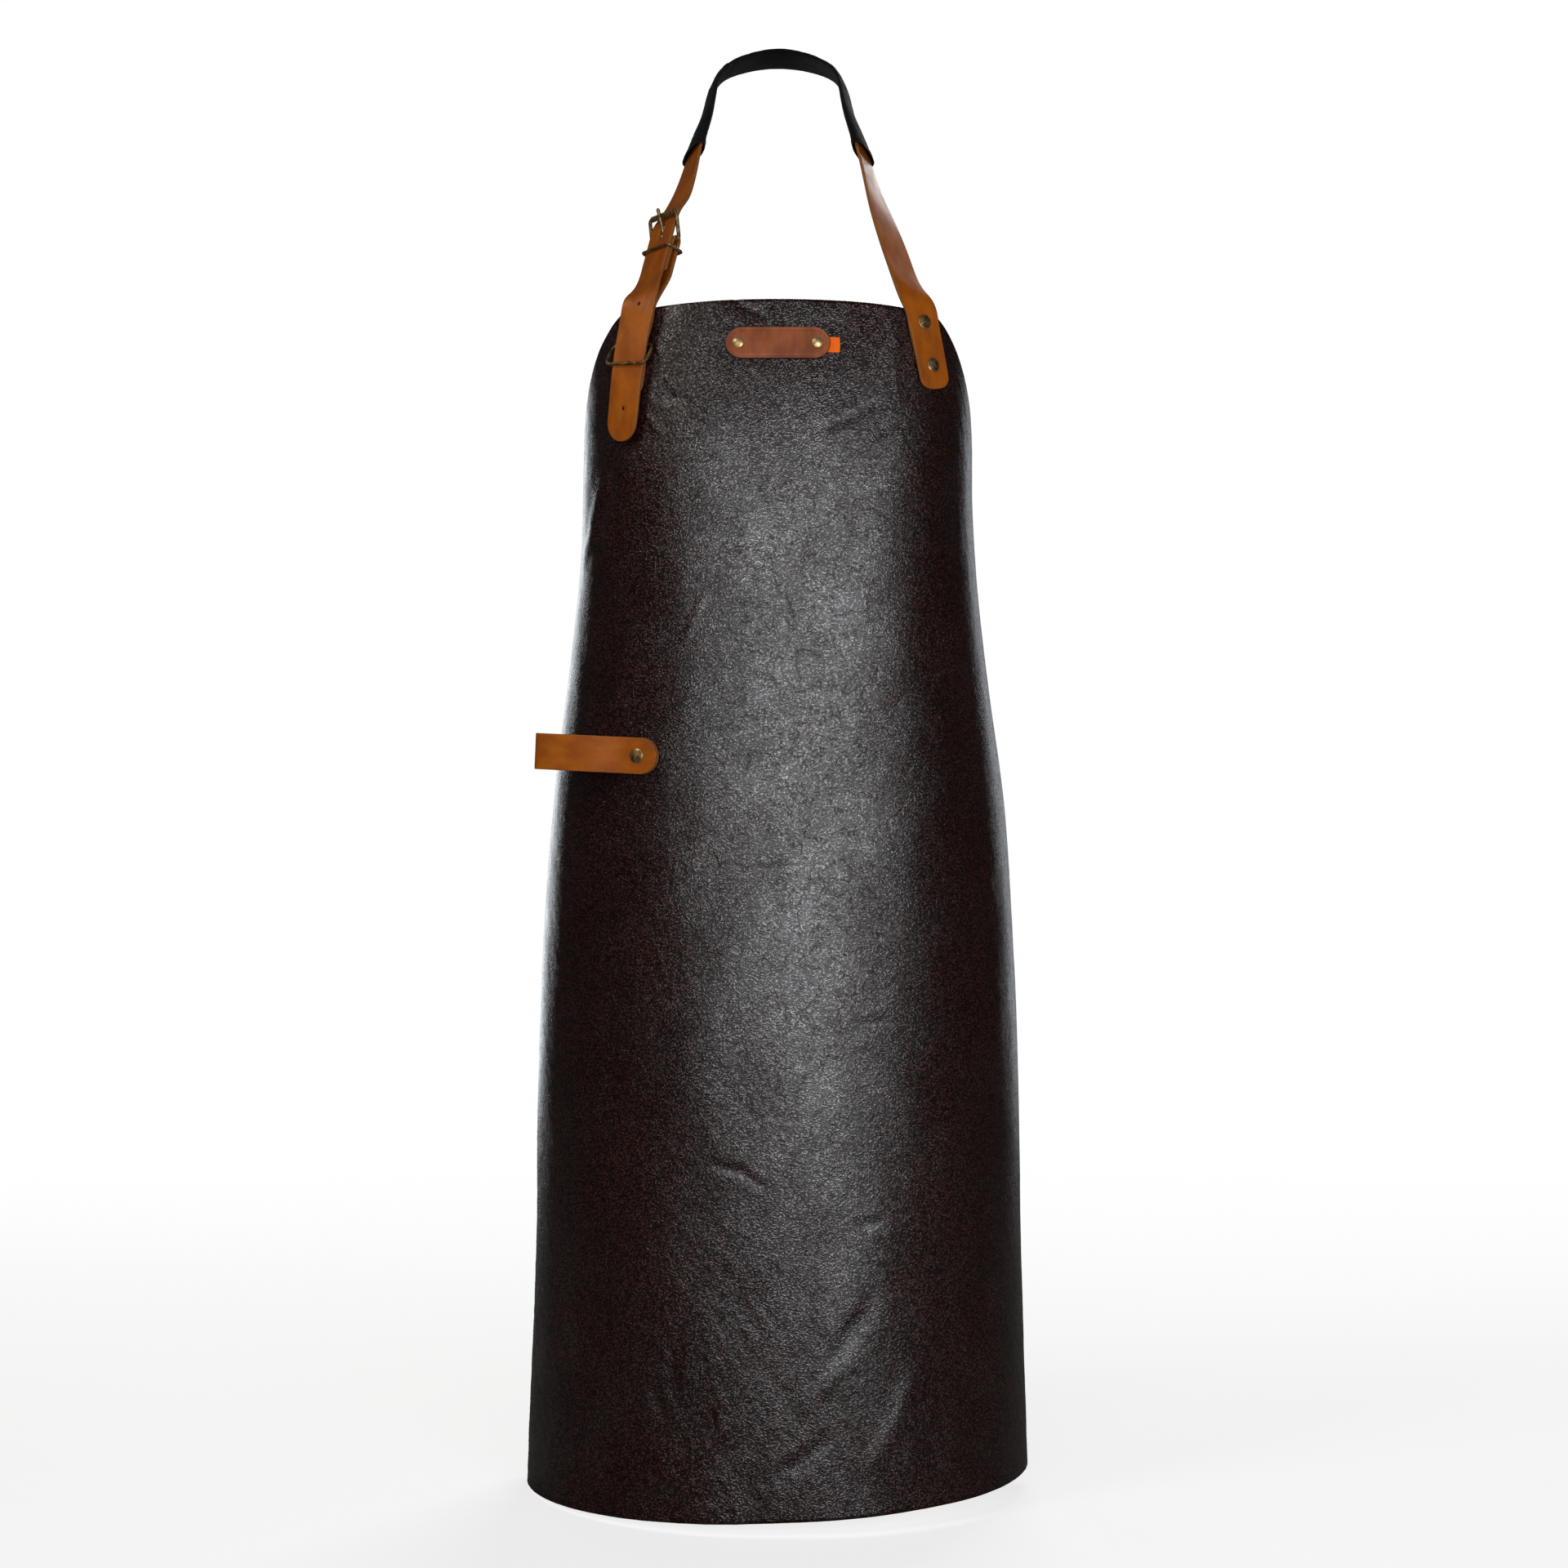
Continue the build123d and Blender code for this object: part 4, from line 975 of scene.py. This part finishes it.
def make_sleeve():
    """Soft padded tube round the nape, wrinkled where it bends and open at both ends."""
    path = NECK_PATH
    y = np.linspace(0, path.length, 1200)
    inside_sleeve = y[path.frames(y)[0][:, 2] > SLEEVE_FROM]
    first, last = inside_sleeve[0], inside_sleeve[-1]
    length = last - first
    along = 260
    around = 96
    count = along * around
    turn = np.linspace(0, 2 * math.pi, around, endpoint=False)
    a, t = np.meshgrid(np.linspace(0, 1, along) * length, turn, indexing="ij")
    from_end = np.minimum(a, length - a)
    flare = np.exp(-((from_end / 9) ** 2))
    loose = smooth(66, 22, from_end)
    bend = sum(np.exp(-(((a - share * length) / 26) ** 2)) for share in SLEEVE_BENDS)
    cosine, sine = np.cos(t), np.sin(t)
    half_width = SLEEVE_HALF_WIDTH + 1.0 * flare - 1.2 * bend
    half_width += 0.6 * layered_noise(a / 26, 2 * sine + 9, 61, 2)
    half_height = SLEEVE_HALF_HEIGHT + SLEEVE_LOOSENESS * loose + 1.2 * flare + 0.4 * bend
    folds = np.abs(layered_noise(a / 7 + 0.8 * cosine, cosine * 1.2 + 5, 67, 2))
    wrinkles = np.clip(1 - 2.2 * folds, 0, 1) ** 2
    x = half_width * np.sign(cosine) * np.abs(cosine) ** 0.8
    z = half_height * np.sign(sine) * np.abs(sine) ** 0.9
    z += np.sign(sine) * np.abs(sine) * (0.3 * layered_noise(a / 22, cosine * 1.5, 71, 2))
    hem = 0.25 * np.exp(-(((from_end - 5) / 1.2) ** 2)) - 0.25 * np.exp(-(((from_end - 7.5) / 0.8) ** 2))
    swell = hem - 0.7 * wrinkles * (0.3 + bend)
    x, z = x + swell * cosine, z + swell * sine
    points, flats = [], []
    for shrink in (0.0, SLEEVE_WALL):
        px, pz = x - shrink * cosine, z - shrink * sine
        points.append(path.place(px.ravel(), first + a.ravel(), pz.ravel()))
        flats.append(np.stack([t.ravel() * 12, a.ravel(), np.zeros(count)], axis=1))
    faces = grid_faces(along, around, 0, wrap=True) + grid_faces(along, around, count, wrap=True, flip=True)
    for row in (0, along - 1):
        for j in range(around):
            k = (j + 1) % around
            a0, a1 = row * around + j, row * around + k
            quad = (a0, count + a0, count + a1, a1)
            faces.append(quad if row else quad[::-1])
    sleeve = make_object("padded_sleeve", np.vstack(points), faces, "neck_loop", CLOTH)
    add_vector(sleeve, "flat", np.vstack(flats))
    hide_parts("neck_sleeve")


make_neck_strap()
make_buckle_strap()
make_waist_straps()
make_towel_loop()
make_badge()
make_side_tab()
make_sleeve()


# ---------- metal kept from the CAD ----------
def dress(node, material):
    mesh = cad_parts[node].data
    mesh.materials.clear()
    mesh.materials.append(material)


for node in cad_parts:
    if node.startswith("badge_rivet"):
        dress(node, BRASS)
    elif "rivet" in node or "buckle_" in node and "strap" not in node or "keeper" in node or "ring" in node:
        dress(node, BRONZE)


# ---------- stage, light and camera ----------
CAMERA_HEIGHT = 605.0
CAMERA_DISTANCE = 2270.0
CAMERA_SIDE = 5.0
LENS = 59.7
SENSOR_WIDTH = 36.0

FLOOR_HALF_SIZE = 30
FLOOR_HEIGHT = -0.002
# The floor turns white to the camera between these distances from it, in metres.
FLOOR_FADE = (2.4, 4.6)
NEAR_FLOOR_GLOW = (0.7, 0.7, 0.7, 1)
NEAR_FLOOR_COLOUR = (0.34, 0.34, 0.34, 1)
FLOOR_COLOUR_IN_REFLECTIONS = (0.12, 0.12, 0.12, 1)
BLACK = (0, 0, 0, 1)
WHITE = (1, 1, 1, 1)
WORLD_COLOUR = (0.9, 0.95, 1.0, 1)
WORLD_STRENGTH = 0.05

LIGHT_DISTANCE = 2.2
KEY_RADIANCE = 3.9
SOFTBOX_COLOUR = (0.93, 0.965, 1.0)
# Softboxes facing the apron: name, left and right, bottom and top, radiance
SOFTBOXES = (
    ("key", (-0.95, 2.05), (0.42, 1.36), KEY_RADIANCE),
    ("low_key", (0.12, 1.3), (0.0, 0.42), 1.25 * KEY_RADIANCE),
)
COOL = (0.9, 0.95, 1.0)
# Other lights: name, place, target, size, power, colour
LIGHTS = (
    ("left_rim", (-1.25, 2.6, 0.75), (-0.1, 0, 0.6), (0.9, 1.5), 13, COOL),
    ("right_rim", (1.5, 2.6, 0.75), (0.1, 0, 0.6), (0.6, 1.5), 5, COOL),
    ("strap_fill", (-1.9, -1.5, 2.9), (-0.1, -0.1, 1.05), (0.8, 0.8), 22, (1.0, 0.96, 0.88)),
    ("back_fill", (0.7, 2.4, 2.5), (0, 0, 0.7), (1.6, 1.0), 50, (1.0, 0.98, 0.95)),
)


def make_stage():
    """Pale floor, darker near the camera and dark in reflections."""
    corners = ((-1, -1), (1, -1), (1, 1), (-1, 1))
    vertices = [(FLOOR_HALF_SIZE * x, FLOOR_HALF_SIZE * y, FLOOR_HEIGHT) for x, y in corners]
    floor = bpy.data.meshes.new("floor")
    floor.from_pydata(vertices, [], [(0, 1, 2, 3)])
    obj = bpy.data.objects.new("floor", floor)
    bpy.context.scene.collection.objects.link(obj)
    shader = Shader("floor")
    seen = shader.add("LightPath", "Is Camera Ray")
    far = shader.ramp(shader.add("CameraData", "View Distance"), *FLOOR_FADE)
    glow = shader.mix(far, NEAR_FLOOR_GLOW, WHITE)
    seen_colour = shader.mix(far, NEAR_FLOOR_COLOUR, BLACK)
    floor.materials.append(shader.finish(
        Base_Color=shader.mix(seen, FLOOR_COLOUR_IN_REFLECTIONS, seen_colour), Roughness=0.9,
        Specular_IOR_Level=0.0, Emission_Color=glow, Emission_Strength=seen))


def make_light(name, place, target, size, power, colour):
    data = bpy.data.lights.new(name, "AREA")
    data.shape = "RECTANGLE"
    data.size, data.size_y = size
    data.energy = power
    data.color = colour
    light = bpy.data.objects.new(name, data)
    bpy.context.scene.collection.objects.link(light)
    light.visible_camera = False
    light.location = place
    light.rotation_mode = "QUATERNION"
    light.rotation_quaternion = (Vector(target) - Vector(place)).to_track_quat("-Z", "Y")


def make_softbox(name, sides, heights, radiance):
    """An upright light facing the apron, LIGHT_DISTANCE in front of it."""
    width, height = sides[1] - sides[0], heights[1] - heights[0]
    x, z = sum(sides) / 2, sum(heights) / 2
    power = radiance * math.pi * width * height
    make_light(name, (x, -LIGHT_DISTANCE, z), (x, 0, z), (width, height), power, SOFTBOX_COLOUR)


def make_world():
    """White to the camera, dim for light and reflections."""
    world = bpy.data.worlds.new("studio")
    bpy.context.scene.world = world
    world.use_nodes = True
    nodes, links = world.node_tree.nodes, world.node_tree.links
    nodes["Background"].inputs["Color"].default_value = WORLD_COLOUR
    nodes["Background"].inputs["Strength"].default_value = WORLD_STRENGTH
    seen = nodes.new("ShaderNodeBackground")
    seen.inputs["Color"].default_value = WHITE
    path = nodes.new("ShaderNodeLightPath")
    mix = nodes.new("ShaderNodeMixShader")
    links.new(path.outputs["Is Camera Ray"], mix.inputs[0])
    links.new(nodes["Background"].outputs[0], mix.inputs[1])
    links.new(seen.outputs[0], mix.inputs[2])
    links.new(mix.outputs[0], nodes["World Output"].inputs["Surface"])


def make_camera():
    camera = bpy.data.objects.new("camera", bpy.data.cameras.new("camera"))
    bpy.context.scene.collection.objects.link(camera)
    camera.data.lens = LENS
    camera.data.sensor_width = SENSOR_WIDTH
    camera.location = Vector((CAMERA_SIDE, -CAMERA_DISTANCE, CAMERA_HEIGHT)) * MM
    camera.rotation_euler = (math.pi / 2, 0, 0)
    bpy.context.scene.camera = camera


make_stage()
make_world()
for softbox in SOFTBOXES:
    make_softbox(*softbox)
for light in LIGHTS:
    make_light(*light)
make_camera()
bpy.context.scene.view_settings.view_transform = "Standard"
